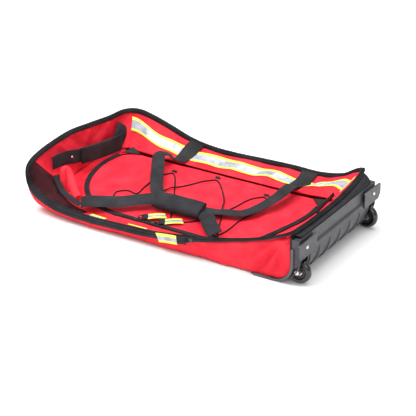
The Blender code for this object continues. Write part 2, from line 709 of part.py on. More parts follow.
def loft(name, rings, material):
    """A closed solid through rings of points, with flat ends."""
    mesh = bpy.data.meshes.new(name)
    shape = bmesh.new()
    placed = [[shape.verts.new(p) for p in ring] for ring in rings]
    size = len(rings[0])
    for a, b in zip(placed, placed[1:]):
        for k in range(size):
            shape.faces.new((a[k], a[(k + 1) % size], b[(k + 1) % size], b[k]))
    shape.faces.new(placed[0][::-1])
    shape.faces.new(placed[-1])
    bmesh.ops.recalc_face_normals(shape, faces=shape.faces)
    shape.to_mesh(mesh)
    shape.free()
    return add(name, mesh, material)


def head_handle():
    """Grab handle across the head end, hinged at its two sewn ends."""
    keys = [(-0.4020, -0.132, 0.116), (-0.3970, -0.104, 0.118), (-0.3920, -0.072, 0.115), (-0.3870, -0.040, 0.108),
            (-0.3780, 0.020, 0.102), (-0.3700, 0.080, 0.098), (-0.3660, 0.128, 0.097), (-0.3650, 0.150, 0.097)]
    path = smooth_path(keys, 18)
    strap("head_handle_webbing", path, "black_webbing", 0.040, across=(0, 0, 1))
    grip = stretch(keys, (3.2, 6.2), 7)
    rings = []
    for k, p in enumerate(grip):
        ahead = (grip[min(k + 1, 7)] - grip[max(k - 1, 0)]).normalized()
        out = ahead.cross(Vector((0, 0, 1))).normalized()
        ring = []
        for c in range(10):
            angle = 2 * pi * c / 10
            ring.append(p + out * (0.0042 * cos(angle) + 0.0064) + Vector((0, 0, 0.0245)) * sin(angle))
        rings.append(ring)
    loft("head_handle_grip", rings, "black_webbing")
    dome = [(0.0, 0.0016), (0.0030, 0.0012), (0.0040, 0.0), (0.0, 0.0)]
    rivet = turned("head_handle_rivet", dome, (0, 0, 0), "steel", 12)
    spot, ahead = on_curve(keys, 2.4), on_curve(keys, 2.5) - on_curve(keys, 2.3)
    out = ahead.cross(Vector((0, 0, 1))).normalized()
    turn = Vector((0, 0, 1)).rotation_difference(out).to_matrix().to_4x4()
    rivet.matrix_world = Matrix.Translation(spot + out * (WEBBING_THICK / 2 + 2 * GAP)) @ turn


def wheel_end_handle():
    keys = [(0.3370, 0.016, 0.094), (0.3365, 0.032, 0.098), (0.3355, 0.060, 0.101), (0.3335, 0.090, 0.102),
            (0.3310, 0.114, 0.102), (0.3300, 0.127, 0.101)]
    strap("wheel_end_handle", smooth_path(keys, 12), "black_webbing", 0.012, across=(-0.3, 0, 1))


# ---- bungee lacing on the lid --------------------------------------------------------------------
LOOPS = {"near_left": (-0.226, -0.122), "far_left": (-0.146, 0.082), "near_middle": (-0.004, -0.146),
         "far_right": (0.150, 0.080), "near_right": (0.138, -0.152), "far_middle": (-0.018, 0.104)}


def bungee():
    """One elastic cord laced between six sewn loops; it passes over itself where it crosses."""
    low, high = 0.0037, 0.0078
    route = [(-0.218, -0.112, low), (-0.230, -0.076, low), (-0.206, -0.056, low), (-0.174, -0.058, low),
             (-0.176, -0.010, low), (-0.168, 0.050, low), (-0.146, 0.0735, low), (-0.124, 0.055, low),
             (-0.090, 0.000, low), (-0.058, -0.052, low), (-0.018, -0.128, low), (-0.004, -0.1375, low),
             (0.014, -0.132, low), (0.050, -0.106, low), (0.082, -0.054, low), (0.104, 0.000, low),
             (0.122, 0.052, low), (0.150, 0.0715, low), (0.166, 0.052, low), (0.164, 0.000, low),
             (0.152, -0.060, low), (0.145, -0.125, low), (0.138, -0.1435, low), (0.128, -0.130, low),
             (0.104, -0.076, low + 0.001), (0.079, -0.026, high + 0.001), (0.056, 0.020, low + 0.001),
             (0.008, 0.078, low), (-0.018, 0.0955, low), (-0.042, 0.084, low), (-0.062, 0.058, low),
             (-0.082, 0.030, low + 0.0006), (-0.101, 0.000, high + 0.0008), (-0.118, -0.020, low + 0.0010)]
    keys = [(x, y, lid_height(y) + lift) for x, y, lift in route]
    tube("bungee_cord", smooth_path(keys, 96), 0.0016, "elastic")
    for name, (x, y) in LOOPS.items():
        base = lid_height(y + 0.0066) + 0.0017
        loop = block("bungee_loop_" + name, (x - 0.007, y - 0.005, base), (x + 0.007, y + 0.005, base + 0.003),
                     "black_webbing", 0.0006)
        if name.startswith("far"):
            loop.location.y += 0.0016
        else:
            loop.location.y -= 0.0016
    lock_at = (-0.124, -0.028)
    base = lid_height(lock_at[1]) + 0.0020
    block("cord_lock", (lock_at[0] - 0.007, lock_at[1] - 0.0042, base),
          (lock_at[0] + 0.002, lock_at[1] + 0.0042, base + 0.008), "zip_black", 0.0012)


# ---- sliders and pull tabs -----------------------------------------------------------------------
LID_SLIDERS = {"left": (-0.100, radians(31), 0.0075), "right": (-0.047, radians(31), 0.0058)}
RIM_SLIDER = (0.106, -0.2248, 0.0548)
RIM_TAB_HINGE = (0.0965, -0.2268, 0.0535)


def tab_outline(reach, half):
    """Tape tab with a cut end, its cord loop narrowing to the hinge at the origin."""
    return [(0.0, -0.0025), (0.010, -0.004), (0.018, -half), (reach - 0.004, -half), (reach, half), (0.018, half),
            (0.010, 0.004), (0.0, 0.0025)]


def sliders():
    tilt = Matrix.Rotation(LID_SLOPE, 4, "X")
    for word, (x, turn, lift) in LID_SLIDERS.items():
        y = LID_NEAR_Y
        base = lid_height(y) + 0.0022
        slider = block("lid_slider_" + word, (x - 0.006, y - 0.0045, base), (x + 0.006, y + 0.0045, base + 0.0042),
                       "steel", 0.0010)
        hinge = Vector((x + 0.0085, y + 0.003, base + lift))
        place = Matrix.Translation(hinge) @ tilt @ Matrix.Rotation(turn, 4, "Z")
        tab = plate("lid_tab_" + word, tab_outline(0.070, TAB_WIDTH / 2), 0.0018, "reflective", place)
        pivot("lid_slider_%s_track" % word, slider.location.copy(), [slider])
        pivot("lid_tab_%s_axis" % word, hinge, [tab])
    x, y, z = RIM_SLIDER
    slider = block("rim_slider", (x - 0.0065, y - 0.0016, z - 0.0050), (x + 0.0065, y + 0.0016, z + 0.0050),
                   "steel", 0.0006)
    slider.rotation_euler = (0, -radians(11), 0)
    outline = [(-0.001 - a, b - 0.004 - (0.008 if a > 0.015 else 0.0)) for a, b in tab_outline(0.092, TAB_WIDTH / 2)]
    tab = plate("rim_tab", outline[::-1], 0.0016, "reflective", across_y(RIM_TAB_HINGE))
    pivot("rim_tab_axis", Vector(RIM_TAB_HINGE), [tab])


def pivots():
    """Parents the lid, the two swinging handles and the near handle to empties on their axes."""
    pieces = bpy.data.objects
    on_lid = ["lid_panel", "lid_zip_lid_half", "bungee_cord", "cord_lock", "far_carry_handle"]
    on_lid += ["bungee_loop_" + name for name in LOOPS]
    pivot("lid_hinge", (0, LID_HINGE_Y, LID_HINGE_Z), [pieces[name] for name in on_lid])
    pivot("near_handle_hinge", (-0.07, -0.182, 0.0475), [pieces["near_carry_handle"], pieces["handle_wrap"]])
    pivot("head_handle_hinge", (-0.3835, 0.009, 0.1065),
          [pieces[name] for name in ("head_handle_webbing", "head_handle_grip", "head_handle_rivet")])
    pivot("wheel_end_handle_hinge", (0.3335, 0.0715, 0.0975), [pieces["wheel_end_handle"]])


# ---- the whole bag -------------------------------------------------------------------------------
bottom_panel()
base_board()
outer_walls()
wheel_end_wall()
rim_zip()
folded_walls()
top_panel()
lid_panel()
lid_zip()
far_trim()
near_trim()
corner_gusset()
wheel_base()
brackets()
corner_guards()
forks_and_axles()
wheels()
carry_handles()
handle_wrap()
head_handle()
wheel_end_handle()
bungee()
sliders()
pivots()
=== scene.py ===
"""Looks of the folded wheeled gear bag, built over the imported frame."""

from math import cos, exp, pi, radians, sin

import bmesh
import bpy
from mathutils import Matrix, Vector, noise


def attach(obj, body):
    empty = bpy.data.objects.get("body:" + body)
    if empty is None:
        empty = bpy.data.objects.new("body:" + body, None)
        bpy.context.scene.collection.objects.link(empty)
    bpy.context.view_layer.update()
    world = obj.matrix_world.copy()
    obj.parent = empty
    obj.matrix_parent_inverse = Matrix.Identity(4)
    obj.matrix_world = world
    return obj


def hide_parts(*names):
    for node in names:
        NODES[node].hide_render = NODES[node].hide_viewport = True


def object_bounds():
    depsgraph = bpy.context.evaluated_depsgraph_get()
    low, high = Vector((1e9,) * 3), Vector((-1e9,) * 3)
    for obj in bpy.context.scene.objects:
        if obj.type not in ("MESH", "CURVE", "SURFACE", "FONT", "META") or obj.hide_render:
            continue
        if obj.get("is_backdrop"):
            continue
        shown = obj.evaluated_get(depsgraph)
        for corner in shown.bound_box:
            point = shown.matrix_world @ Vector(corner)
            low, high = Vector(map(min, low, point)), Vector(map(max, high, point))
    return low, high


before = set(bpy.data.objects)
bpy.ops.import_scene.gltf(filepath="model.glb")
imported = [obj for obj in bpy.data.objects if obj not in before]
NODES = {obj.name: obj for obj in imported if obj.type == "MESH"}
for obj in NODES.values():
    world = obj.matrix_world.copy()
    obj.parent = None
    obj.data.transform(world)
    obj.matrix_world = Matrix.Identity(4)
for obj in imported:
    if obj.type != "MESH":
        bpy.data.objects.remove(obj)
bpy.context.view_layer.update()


# Shared shape helpers ----------------------------------------------------------
def on_curve(keys, u, closed=False):
    """Point at parameter u on the smooth curve through the keys; u counts keys."""
    count = len(keys)
    if closed:
        u = u % count
    i = int(u) if u < count - 1 or closed else count - 2
    f = u - i

    def key(k):
        return Vector(keys[k % count]) if closed else Vector(keys[min(max(k, 0), count - 1)])

    a, b, c, d = key(i - 1), key(i), key(i + 1), key(i + 2)
    cubic = (3 * b - a - 3 * c + d) * f ** 3
    return 0.5 * (2 * b + (c - a) * f + (2 * a - 5 * b + 4 * c - d) * f * f + cubic)


def path(keys, count, low=0.0, high=None):
    high = len(keys) - 1.0 if high is None else high
    return [on_curve(keys, low + (high - low) * k / count) for k in range(count + 1)]


def bow(start, end, out_start, out_end, count):
    """Points on a cubic curve that leaves start by out_start and arrives at end from out_end."""
    b, c = start + Vector(out_start), end + Vector(out_end)
    points = []
    for k in range(count + 1):
        t = k / count
        s = 1 - t
        points.append(s ** 3 * start + 3 * s * s * t * b + 3 * s * t * t * c + t ** 3 * end)
    return points


def smooth(a, b, x):
    t = min(max((x - a) / (b - a), 0.0), 1.0)
    return t * t * (3 - 2 * t)


def to_segment(p, a, b):
    """Distance from p to the segment a-b."""
    along = b - a
    t = min(max((p - a).dot(along) / along.length_squared, 0.0), 1.0)
    return (p - a - along * t).length


def fold_height(p, folds):
    """Height of the folds at p: each is (start, end, half width, height)."""
    total = 0.0
    for start, end, width, height in folds:
        d = to_segment(p, Vector(start), Vector(end)) / width
        if d < 3:
            total += height * exp(-d * d)
    return total


def ripple(p, size, amount):
    """Soft uneven swelling of cloth, of about that size."""
    return amount * noise.fractal(p / size, 1.0, 2.0, 3)


def keep(obj, material, body, replaces=()):
    """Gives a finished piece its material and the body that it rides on."""
    if material:
        obj.data.materials.clear()
        obj.data.materials.append(material)
    if body:
        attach(obj, body)
    if replaces:
        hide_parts(*replaces)
    return obj


def grid_mesh(name, rows, closed=False):
    """Mesh through rows of points, with a UV map in metres: U along the rows and V across them."""
    mesh = bpy.data.meshes.new(name)
    wide = len(rows[0])
    mesh.from_pydata([p for row in rows for p in row], [], [
        (r * wide + c, r * wide + (c + 1) % wide, (r + 1) * wide + (c + 1) % wide, (r + 1) * wide + c)
        for r in range(len(rows) - 1) for c in range(wide if closed else wide - 1)])
    along, across = [0.0], [0.0]
    middle = rows[len(rows) // 2]
    for c in range(wide):
        along.append(along[-1] + (middle[(c + 1) % wide] - middle[c]).length)
    for r in range(len(rows) - 1):
        across.append(across[-1] + (rows[r + 1][wide // 2] - rows[r][wide // 2]).length)
    layer = mesh.uv_layers.new(name="UVMap")
    for face in mesh.polygons:
        for loop in face.loop_indices:
            vertex = mesh.loops[loop].vertex_index
            c = vertex % wide
            if closed and c == 0 and face.vertices[1] % wide == 0:
                c = wide
            layer.data[loop].uv = (along[c], across[vertex // wide])
    mesh.polygons.foreach_set("use_smooth", [True] * len(mesh.polygons))
    return mesh


def normals_of(rows):
    """Unit normal at each point of the rows."""
    high, wide = len(rows), len(rows[0])
    made = []
    for r in range(high):
        line = []
        for c in range(wide):
            du = rows[r][min(c + 1, wide - 1)] - rows[r][max(c - 1, 0)]
            dv = rows[min(r + 1, high - 1)][c] - rows[max(r - 1, 0)][c]
            n = du.cross(dv)
            line.append(n.normalized() if n.length > 1e-12 else Vector((0, 0, 1)))
        made.append(line)
    return made


def skin(name, rows, facing=(0, 0, 1), folds=(), swell=(0.05, 0.0), thickness=0.0012, centre=None):
    """A cloth skin whose outer side faces that way, or away from centre, with folds and swelling."""
    normals = normals_of(rows)
    outward = 0.0
    for row, line in zip(rows, normals):
        for p, n in zip(row, line):
            outward += n.dot(p - Vector(centre) if centre else Vector(facing))
    if outward < 0:
        rows = rows[::-1]
        normals = [[-n for n in line] for line in normals[::-1]]
    size, amount = swell
    shaped = []
    for row, line in zip(rows, normals):
        shaped.append([p + n * (fold_height(p, folds) + (ripple(p, size, amount) if amount else 0.0))
                       for p, n in zip(row, line)])
    obj = bpy.data.objects.new(name, grid_mesh(name, shaped))
    bpy.context.scene.collection.objects.link(obj)
    solid = obj.modifiers.new("cloth", "SOLIDIFY")
    solid.thickness = thickness
    solid.offset = -1.0
    return obj


def sweep(name, points, profile, up=(0, 0, 1), closed=False, ends=True):
    """A profile of (side, rise) pairs swept along points; up is a direction or one for each point,
    and the profile may be a function of the share of the way along."""
    count = len(points)
    ring_count = len(profile(0.0)) if callable(profile) else len(profile)
    rings = []
    for k, p in enumerate(points):
        if closed:
            ahead = points[(k + 1) % count] - points[k - 1]
        else:
            ahead = points[min(k + 1, count - 1)] - points[max(k - 1, 0)]
        way = Vector(up[k] if isinstance(up, list) else up)
        side = ahead.cross(way).normalized()
        rise = side.cross(ahead).normalized()
        shape = profile(k / max(count - 1, 1)) if callable(profile) else profile
        rings.append([p + side * s + rise * h for s, h in shape])
    if closed:
        rings.append([v.copy() for v in rings[0]])
    mesh = grid_mesh(name, rings, closed=True)
    shape = bmesh.new()
    shape.from_mesh(mesh)
    if ends and not closed:
        shape.verts.ensure_lookup_table()
        shape.faces.new([shape.verts[k] for k in range(ring_count)])
        last = (count - 1) * ring_count
        shape.faces.new([shape.verts[last + k] for k in range(ring_count)][::-1])
    bmesh.ops.remove_doubles(shape, verts=shape.verts, dist=1e-6)
    bmesh.ops.recalc_face_normals(shape, faces=shape.faces)
    for face in shape.faces:
        face.smooth = True
    shape.to_mesh(mesh)
    shape.free()
    mesh.set_sharp_from_angle(angle=radians(50))
    obj = bpy.data.objects.new(name, mesh)
    bpy.context.scene.collection.objects.link(obj)
    return obj


def round_profile(radius, count=10):
    return [(radius * cos(2 * pi * k / count), radius * sin(2 * pi * k / count)) for k in range(count)]


def flat_profile(width, thickness):
    """Cross-section of flat webbing with rounded selvedges."""
    w, h = width / 2, thickness / 2
    return [(-w, 0), (-w + h, h), (-w / 3, h), (w / 3, h), (w - h, h), (w, 0), (w - h, -h), (w / 3, -h),
            (-w / 3, -h), (-w + h, -h)]


def webbing(name, points, width, thickness=0.0022, turns=None, up=(0, 0, 1)):
    """Webbing along points; turns gives the twist in radians at each share of the way."""
    ups = []
    for k, p in enumerate(points):
        ahead = (points[min(k + 1, len(points) - 1)] - points[max(k - 1, 0)]).normalized()
        way = Vector(up)
        way = (way - ahead * way.dot(ahead)).normalized()
        if turns:
            way = Matrix.Rotation(turns(k / (len(points) - 1)), 3, ahead) @ way
        ups.append(way)
    return sweep(name, points, flat_profile(width, thickness), ups)


# Shared material helpers -------------------------------------------------------
def linear(code):
    """An sRGB hex colour as linear RGBA."""
    parts = [int(code[k:k + 2], 16) / 255 for k in (1, 3, 5)]
    return tuple(c / 12.92 if c <= 0.04045 else ((c + 0.055) / 1.055) ** 2.4 for c in parts) + (1.0,)


def add(tree, kind, inputs=None, **settings):
    """Adds a node: settings are its properties, and inputs are values or sockets to join."""
    made = tree.nodes.new(kind)
    for key, value in settings.items():
        setattr(made, key, value)
    for key, value in (inputs or {}).items():
        if isinstance(value, bpy.types.NodeSocket):
            tree.links.new(value, made.inputs[key])
        else:
            made.inputs[key].default_value = value
    return made


def new_material(name, roughness, metallic=0.0, **uniform):
    """A material and its shader; uniform values are set on the shader's own sockets."""
    material = bpy.data.materials.new(name)
    material.use_nodes = True
    shader = material.node_tree.nodes["Principled BSDF"]
    shader.inputs["Roughness"].default_value = roughness
    shader.inputs["Metallic"].default_value = metallic
    for key, value in uniform.items():
        shader.inputs[key.replace("_", " ")].default_value = value
    return material, material.node_tree, shader


def mixed(tree, factor, a, b, blend="MIX"):
    node = add(tree, "ShaderNodeMix", data_type="RGBA", blend_type=blend)
    for index, value in ((0, factor), (6, a), (7, b)):
        if isinstance(value, bpy.types.NodeSocket):
            tree.links.new(value, node.inputs[index])
        else:
            node.inputs[index].default_value = value
    return node.outputs[2]


def maths(tree, operation, a, b=0.0):
    return add(tree, "ShaderNodeMath", {0: a, 1: b}, operation=operation).outputs[0]


def remap(tree, value, low, high, to_low=0.0, to_high=1.0):
    made = add(tree, "ShaderNodeMapRange", {0: value, 1: low, 2: high, 3: to_low, 4: to_high})
    return made.outputs[0]


def weave_height(tree, place, pitch, twill=False):
    """Height of a weave with that thread pitch in metres: two crossing sets of threads."""
    scale = 0.314 / pitch
    warp = add(tree, "ShaderNodeTexWave", {"Vector": place, "Scale": scale, "Distortion": 0.6},
               bands_direction="DIAGONAL" if twill else "X").outputs["Fac"]
    weft = add(tree, "ShaderNodeTexWave", {"Vector": place, "Scale": scale, "Distortion": 0.6},
               bands_direction="Y").outputs["Fac"]
    return maths(tree, "MULTIPLY", warp, weft)


def woven(name, light, dark, pitch, roughness, sheen, bump=0.25, twill=False, lint=None):
    """Woven cloth: threads at that pitch, slow colour variation, fuzz and a soft sheen."""
    material, tree, shader = new_material(name, roughness, Sheen_Weight=sheen, Sheen_Roughness=0.45,
                                          Specular_IOR_Level=0.25)
    shader.inputs["Sheen Tint"].default_value = linear(light)
    coordinates = add(tree, "ShaderNodeTexCoord")
    threads = weave_height(tree, coordinates.outputs["UV"], pitch, twill)
    slow = add(tree, "ShaderNodeTexNoise", {"Vector": coordinates.outputs["Object"], "Scale": 22.0,
                                            "Detail": 4.0}).outputs["Fac"]
    fuzz = add(tree, "ShaderNodeTexNoise", {"Vector": coordinates.outputs["Object"], "Scale": 900.0,
                                            "Detail": 2.0}).outputs["Fac"]
    base = mixed(tree, remap(tree, slow, 0.35, 0.7), linear(dark), linear(light))
    base = mixed(tree, remap(tree, threads, 0.0, 0.5, 0.30, 0.0), base, linear(dark), "MULTIPLY")
    if lint:
        base = mixed(tree, remap(tree, fuzz, 0.62, 0.80, 0.0, 0.5), base, linear(lint))
    tree.links.new(base, shader.inputs["Base Color"])
    rough = remap(tree, fuzz, 0.3, 0.7, roughness - 0.08, roughness + 0.08)
    tree.links.new(rough, shader.inputs["Roughness"])
    height = maths(tree, "ADD", threads, maths(tree, "MULTIPLY", fuzz, 0.5))
    made = add(tree, "ShaderNodeBump", {"Height": height, "Strength": bump, "Distance": pitch * 0.5})
    tree.links.new(made.outputs["Normal"], shader.inputs["Normal"])
    return material


def banded_tape(name, width, edge=0.24):
    """Retroreflective tape: fluorescent yellow selvedges and a silver glass-bead centre."""
    material, tree, shader = new_material(name, 0.42, Specular_IOR_Level=0.5)
    coordinates = add(tree, "ShaderNodeTexCoord")
    across = add(tree, "ShaderNodeSeparateXYZ", {0: coordinates.outputs["UV"]}).outputs["Y"]
    share = maths(tree, "DIVIDE", across, width)
    away = maths(tree, "ABSOLUTE", maths(tree, "SUBTRACT", share, 0.5))
    silver = remap(tree, away, 0.5 - edge - 0.015, 0.5 - edge, 1.0, 0.0)
    beads = add(tree, "ShaderNodeTexVoronoi", {"Vector": coordinates.outputs["UV"], "Scale": 1400.0})
    cloud = add(tree, "ShaderNodeTexNoise", {"Vector": coordinates.outputs["Object"], "Scale": 60.0,
                                             "Detail": 3.0}).outputs["Fac"]
    grey = mixed(tree, remap(tree, cloud, 0.3, 0.7), linear("#9A9DA8"), linear("#C2C5D0"))
    grey = mixed(tree, remap(tree, beads.outputs["Distance"], 0.0, 0.6, 0.25, 0.0), grey,
                 linear("#7C7F8A"), "MULTIPLY")
    threads = weave_height(tree, coordinates.outputs["UV"], 0.0009)
    yellow = mixed(tree, remap(tree, threads, 0.0, 0.6), linear("#E3E94A"), linear("#F7FA74"))
    base = mixed(tree, silver, yellow, grey)
    tree.links.new(base, shader.inputs["Base Color"])
    tree.links.new(maths(tree, "MULTIPLY", silver, 0.35), shader.inputs["Metallic"])
    height = maths(tree, "ADD", maths(tree, "MULTIPLY", threads, 0.6), beads.outputs["Distance"])
    made = add(tree, "ShaderNodeBump", {"Height": height, "Strength": 0.2, "Distance": 0.0003})
    tree.links.new(made.outputs["Normal"], shader.inputs["Normal"])
    return material


def moulded(name, light, dark, roughness, grain=0.0008, bump=0.15, **uniform):
    """Moulded plastic: fine grain, faint scuffs and slow variation of tone."""
    material, tree, shader = new_material(name, roughness, **uniform)
    place = add(tree, "ShaderNodeTexCoord").outputs["Object"]
    slow = add(tree, "ShaderNodeTexNoise", {"Vector": place, "Scale": 30.0, "Detail": 5.0}).outputs["Fac"]
    fine = add(tree, "ShaderNodeTexNoise", {"Vector": place, "Scale": 1 / grain,
                                            "Detail": 2.0}).outputs["Fac"]
    stretched = add(tree, "ShaderNodeMapping",
                    {"Vector": place, "Scale": (20.0, 260.0, 120.0)}).outputs[0]
    scuff = add(tree, "ShaderNodeTexNoise", {"Vector": stretched, "Scale": 1.0,
                                             "Detail": 6.0}).outputs["Fac"]
    base = mixed(tree, remap(tree, slow, 0.3, 0.7), linear(dark), linear(light))
    tree.links.new(base, shader.inputs["Base Color"])
    rough = remap(tree, scuff, 0.35, 0.75, roughness - 0.08, roughness + 0.14)
    tree.links.new(rough, shader.inputs["Roughness"])
    made = add(tree, "ShaderNodeBump", {"Height": fine, "Strength": bump, "Distance": grain * 0.4})
    tree.links.new(made.outputs["Normal"], shader.inputs["Normal"])
    return material


# Materials ---------------------------------------------------------------------
RED = woven("red_polyester", "#FB3346", "#E31B35", 0.0011, 0.62, 0.35)
WEBBING = woven("black_webbing", "#37373C", "#232327", 0.0024, 0.75, 0.45, 0.6, twill=True)
ZIP_TAPE = woven("zip_tape", "#2E2E33", "#1C1C20", 0.0013, 0.7, 0.3, 0.4, twill=True)
PIPING = woven("piping_binding", "#2A2A2E", "#19191C", 0.0012, 0.55, 0.3, 0.3)
NET = woven("mesh_lining", "#5B2027", "#2A0D11", 0.0028, 0.85, 0.2, 0.8)
TAPE_WIDE = banded_tape("tape_wide", 0.038, 0.19)
TAPE_TAB = banded_tape("tape_tab", 0.024, 0.27)
PLASTIC = moulded("base_plastic", "#3F3F44", "#323236", 0.42, 0.0009, 0.25)
PLASTIC_LIGHT = moulded("guard_plastic", "#57575D", "#47474C", 0.38, 0.0009, 0.2)
GLOSS = moulded("slider_enamel", "#1B1B1E", "#101012", 0.22, 0.0010, 0.05, Coat_Weight=0.4)
TYRE = moulded("polyurethane_tyre", "#131315", "#0B0B0C", 0.16, 0.0012, 0.05, Coat_Weight=0.5)
HUB = moulded("hub_plastic", "#202024", "#151517", 0.30, 0.0010, 0.1)
STEEL = moulded("plated_steel", "#E9E9EC", "#C9C9CE", 0.24, 0.0012, 0.05, Metallic=1.0)
ELASTIC = woven("braided_elastic", "#1E1E22", "#111114", 0.0010, 0.7, 0.4, 0.5, twill=True)
BOARD = moulded("stiffener_board", "#3A3A3C", "#2B2B2D", 0.6)


# Lines that several pieces share -----------------------------------------------
# The perimeter zip, the lid's zip and the seam of the top panel, as points their shape needs.
RIM_KEYS = [
    (0.384, -0.204, 0.139), (0.335, -0.210, 0.117), (0.275, -0.213, 0.097), (0.200, -0.215, 0.077),
    (0.125, -0.215, 0.059), (0.045, -0.215, 0.044), (-0.040, -0.215, 0.0335), (-0.130, -0.215, 0.030),
    (-0.220, -0.215, 0.027), (-0.310, -0.214, 0.031), (-0.372, -0.212, 0.0455), (-0.418, -0.210, 0.075),
    (-0.433, -0.202, 0.122), (-0.432, -0.150, 0.149), (-0.419, -0.040, 0.170), (-0.409, 0.050, 0.168),
    (-0.397, 0.130, 0.165), (-0.382, 0.185, 0.170), (-0.350, 0.209, 0.170), (-0.300, 0.214, 0.159),
    (-0.240, 0.215, 0.140), (-0.170, 0.215, 0.117), (-0.100, 0.215, 0.106), (-0.020, 0.215, 0.104),
    (0.070, 0.215, 0.107), (0.160, 0.215, 0.109), (0.240, 0.215, 0.108), (0.310, 0.214, 0.121),
    (0.355, 0.210, 0.147), (0.380, 0.193, 0.158), (0.387, 0.130, 0.147), (0.389, 0.050, 0.138),
    (0.389, -0.040, 0.135), (0.388, -0.120, 0.135), (0.387, -0.170, 0.137),
]
LID_KEYS = [
    (-0.316, 0.129), (-0.344, 0.104), (-0.358, 0.054), (-0.354, -0.010), (-0.334, -0.068),
    (-0.296, -0.117), (-0.246, -0.151), (-0.190, -0.168), (-0.120, -0.170), (-0.040, -0.170),
    (0.050, -0.170), (0.130, -0.170), (0.185, -0.163), (0.222, -0.140), (0.247, -0.100),
    (0.268, -0.050), (0.288, 0.005), (0.299, 0.055), (0.300, 0.095), (0.302, 0.129),
]
SEAM_KEYS = [
    (-0.362, 0.146, 0.075), (-0.384, 0.108, 0.068), (-0.392, 0.060, 0.062), (-0.394, -0.010, 0.056),
    (-0.390, -0.080, 0.050), (-0.366, -0.140, 0.043), (-0.306, -0.176, 0.0340), (-0.220, -0.186, 0.0302),
    (-0.120, -0.188, 0.0302), (-0.040, -0.188, 0.0315), (0.050, -0.188, 0.034), (0.140, -0.188, 0.043),
    (0.230, -0.186, 0.056), (0.300, -0.182, 0.068), (0.326, -0.140, 0.076), (0.334, -0.080, 0.080),
    (0.337, -0.010, 0.082), (0.337, 0.055, 0.083), (0.334, 0.098, 0.084), (0.326, 0.137, 0.083),
]
BASE_TOP = 0.0035
FOOT_HEAD, FOOT_SIDE, FOOT_RADIUS = 0.3860, 0.2035, 0.118


def rim_frame(u):
    """Point of the perimeter zip at u, with its direction and the level way in from it."""
    p = on_curve(RIM_KEYS, u, closed=True)
    ahead = on_curve(RIM_KEYS, u + 0.05, closed=True) - on_curve(RIM_KEYS, u - 0.05, closed=True)
    return p, ahead.normalized(), ahead.cross(Vector((0, 0, 1))).normalized()


def rim_point(u, drop=0.0, inset=0.0):
    p, ahead, inward = rim_frame(u)
    return p + inward * inset + ahead.cross(inward).normalized() * drop


def lid_height(y):
    return 0.070 + (y - 0.130) * 0.106


def lid_edge(offset, count, lift=0.0, low=1.0, high=18.0):
    """The lid's zip line, moved out of the lid by offset and lifted off it by lift."""
    keys = [(x, y, 0.0) for x, y in LID_KEYS]
    points = []
    for k in range(count + 1):
        u = low + (high - low) * k / count
        ahead = on_curve(keys, min(u + 0.05, 19.0)) - on_curve(keys, max(u - 0.05, 0.0))
        p = on_curve(keys, u) + ahead.cross(Vector((0, 0, 1))).normalized() * offset
        p.z = lid_height(p.y) + lift
        points.append(p)
    return points


def foot_point(p):
    """Where the outer wall below a rim point meets the bottom panel."""
    x = min(max(p.x, FOOT_RADIUS - FOOT_HEAD), 0.332)
    y = min(max(p.y, FOOT_RADIUS - FOOT_SIDE), FOOT_SIDE - FOOT_RADIUS)
    out = Vector((p.x, p.y, 0)) - Vector((x, y, 0))
    if x >= 0:
        out = Vector((0, 1 if p.y > 0 else -1, 0))
    return Vector((x, y, 0)) + out.normalized() * FOOT_RADIUS + Vector((0, 0, BASE_TOP))


# Outer walls -------------------------------------------------------------------
# Coated polyester cut in one long strip round the two sides and the head end, sewn to the bottom
# panel below and to the perimeter zip above. At the wheel end it runs round inside the corner guard.
def guard_line(t, side):
    """The wall's end edge, from the floor round the inside of the corner guard up to the zip."""
    radius, centre = 0.0455, Vector((0.3405, side * 0.2052, 0.0520))
    if t < 0.12:
        return centre + Vector((-0.03 * (1 - t / 0.12), 0, -radius))
    if t < 0.5:
        a = pi / 2 * (t - 0.12) / 0.38
        return centre + Vector((radius * sin(a), 0, -radius * cos(a)))
    top = Vector((0.3835, side * 0.2035, 0.131))
    return (centre + Vector((radius, 0, 0))).lerp(top, (t - 0.5) / 0.5)


def outer_wall(u, rows):
    """Column of points of the outer wall below the perimeter zip at u."""
    high = rim_point(u, drop=0.0050)
    low = foot_point(high)
    out = Vector((high.x - low.x, high.y - low.y, 0))
    column = bow(low, high, out * 0.8 + Vector((0, 0, 0.0)), (0, 0, -0.55 * (high.z - low.z)), rows)
    near = 1 - smooth(0.0, 3.2, u)
    far = smooth(25.6, 28.6, u)
    weight, side = (near, -1) if near > 0 else (far, 1)
    return [p.lerp(guard_line(k / rows, side), weight ** 1.5) for k, p in enumerate(column)]


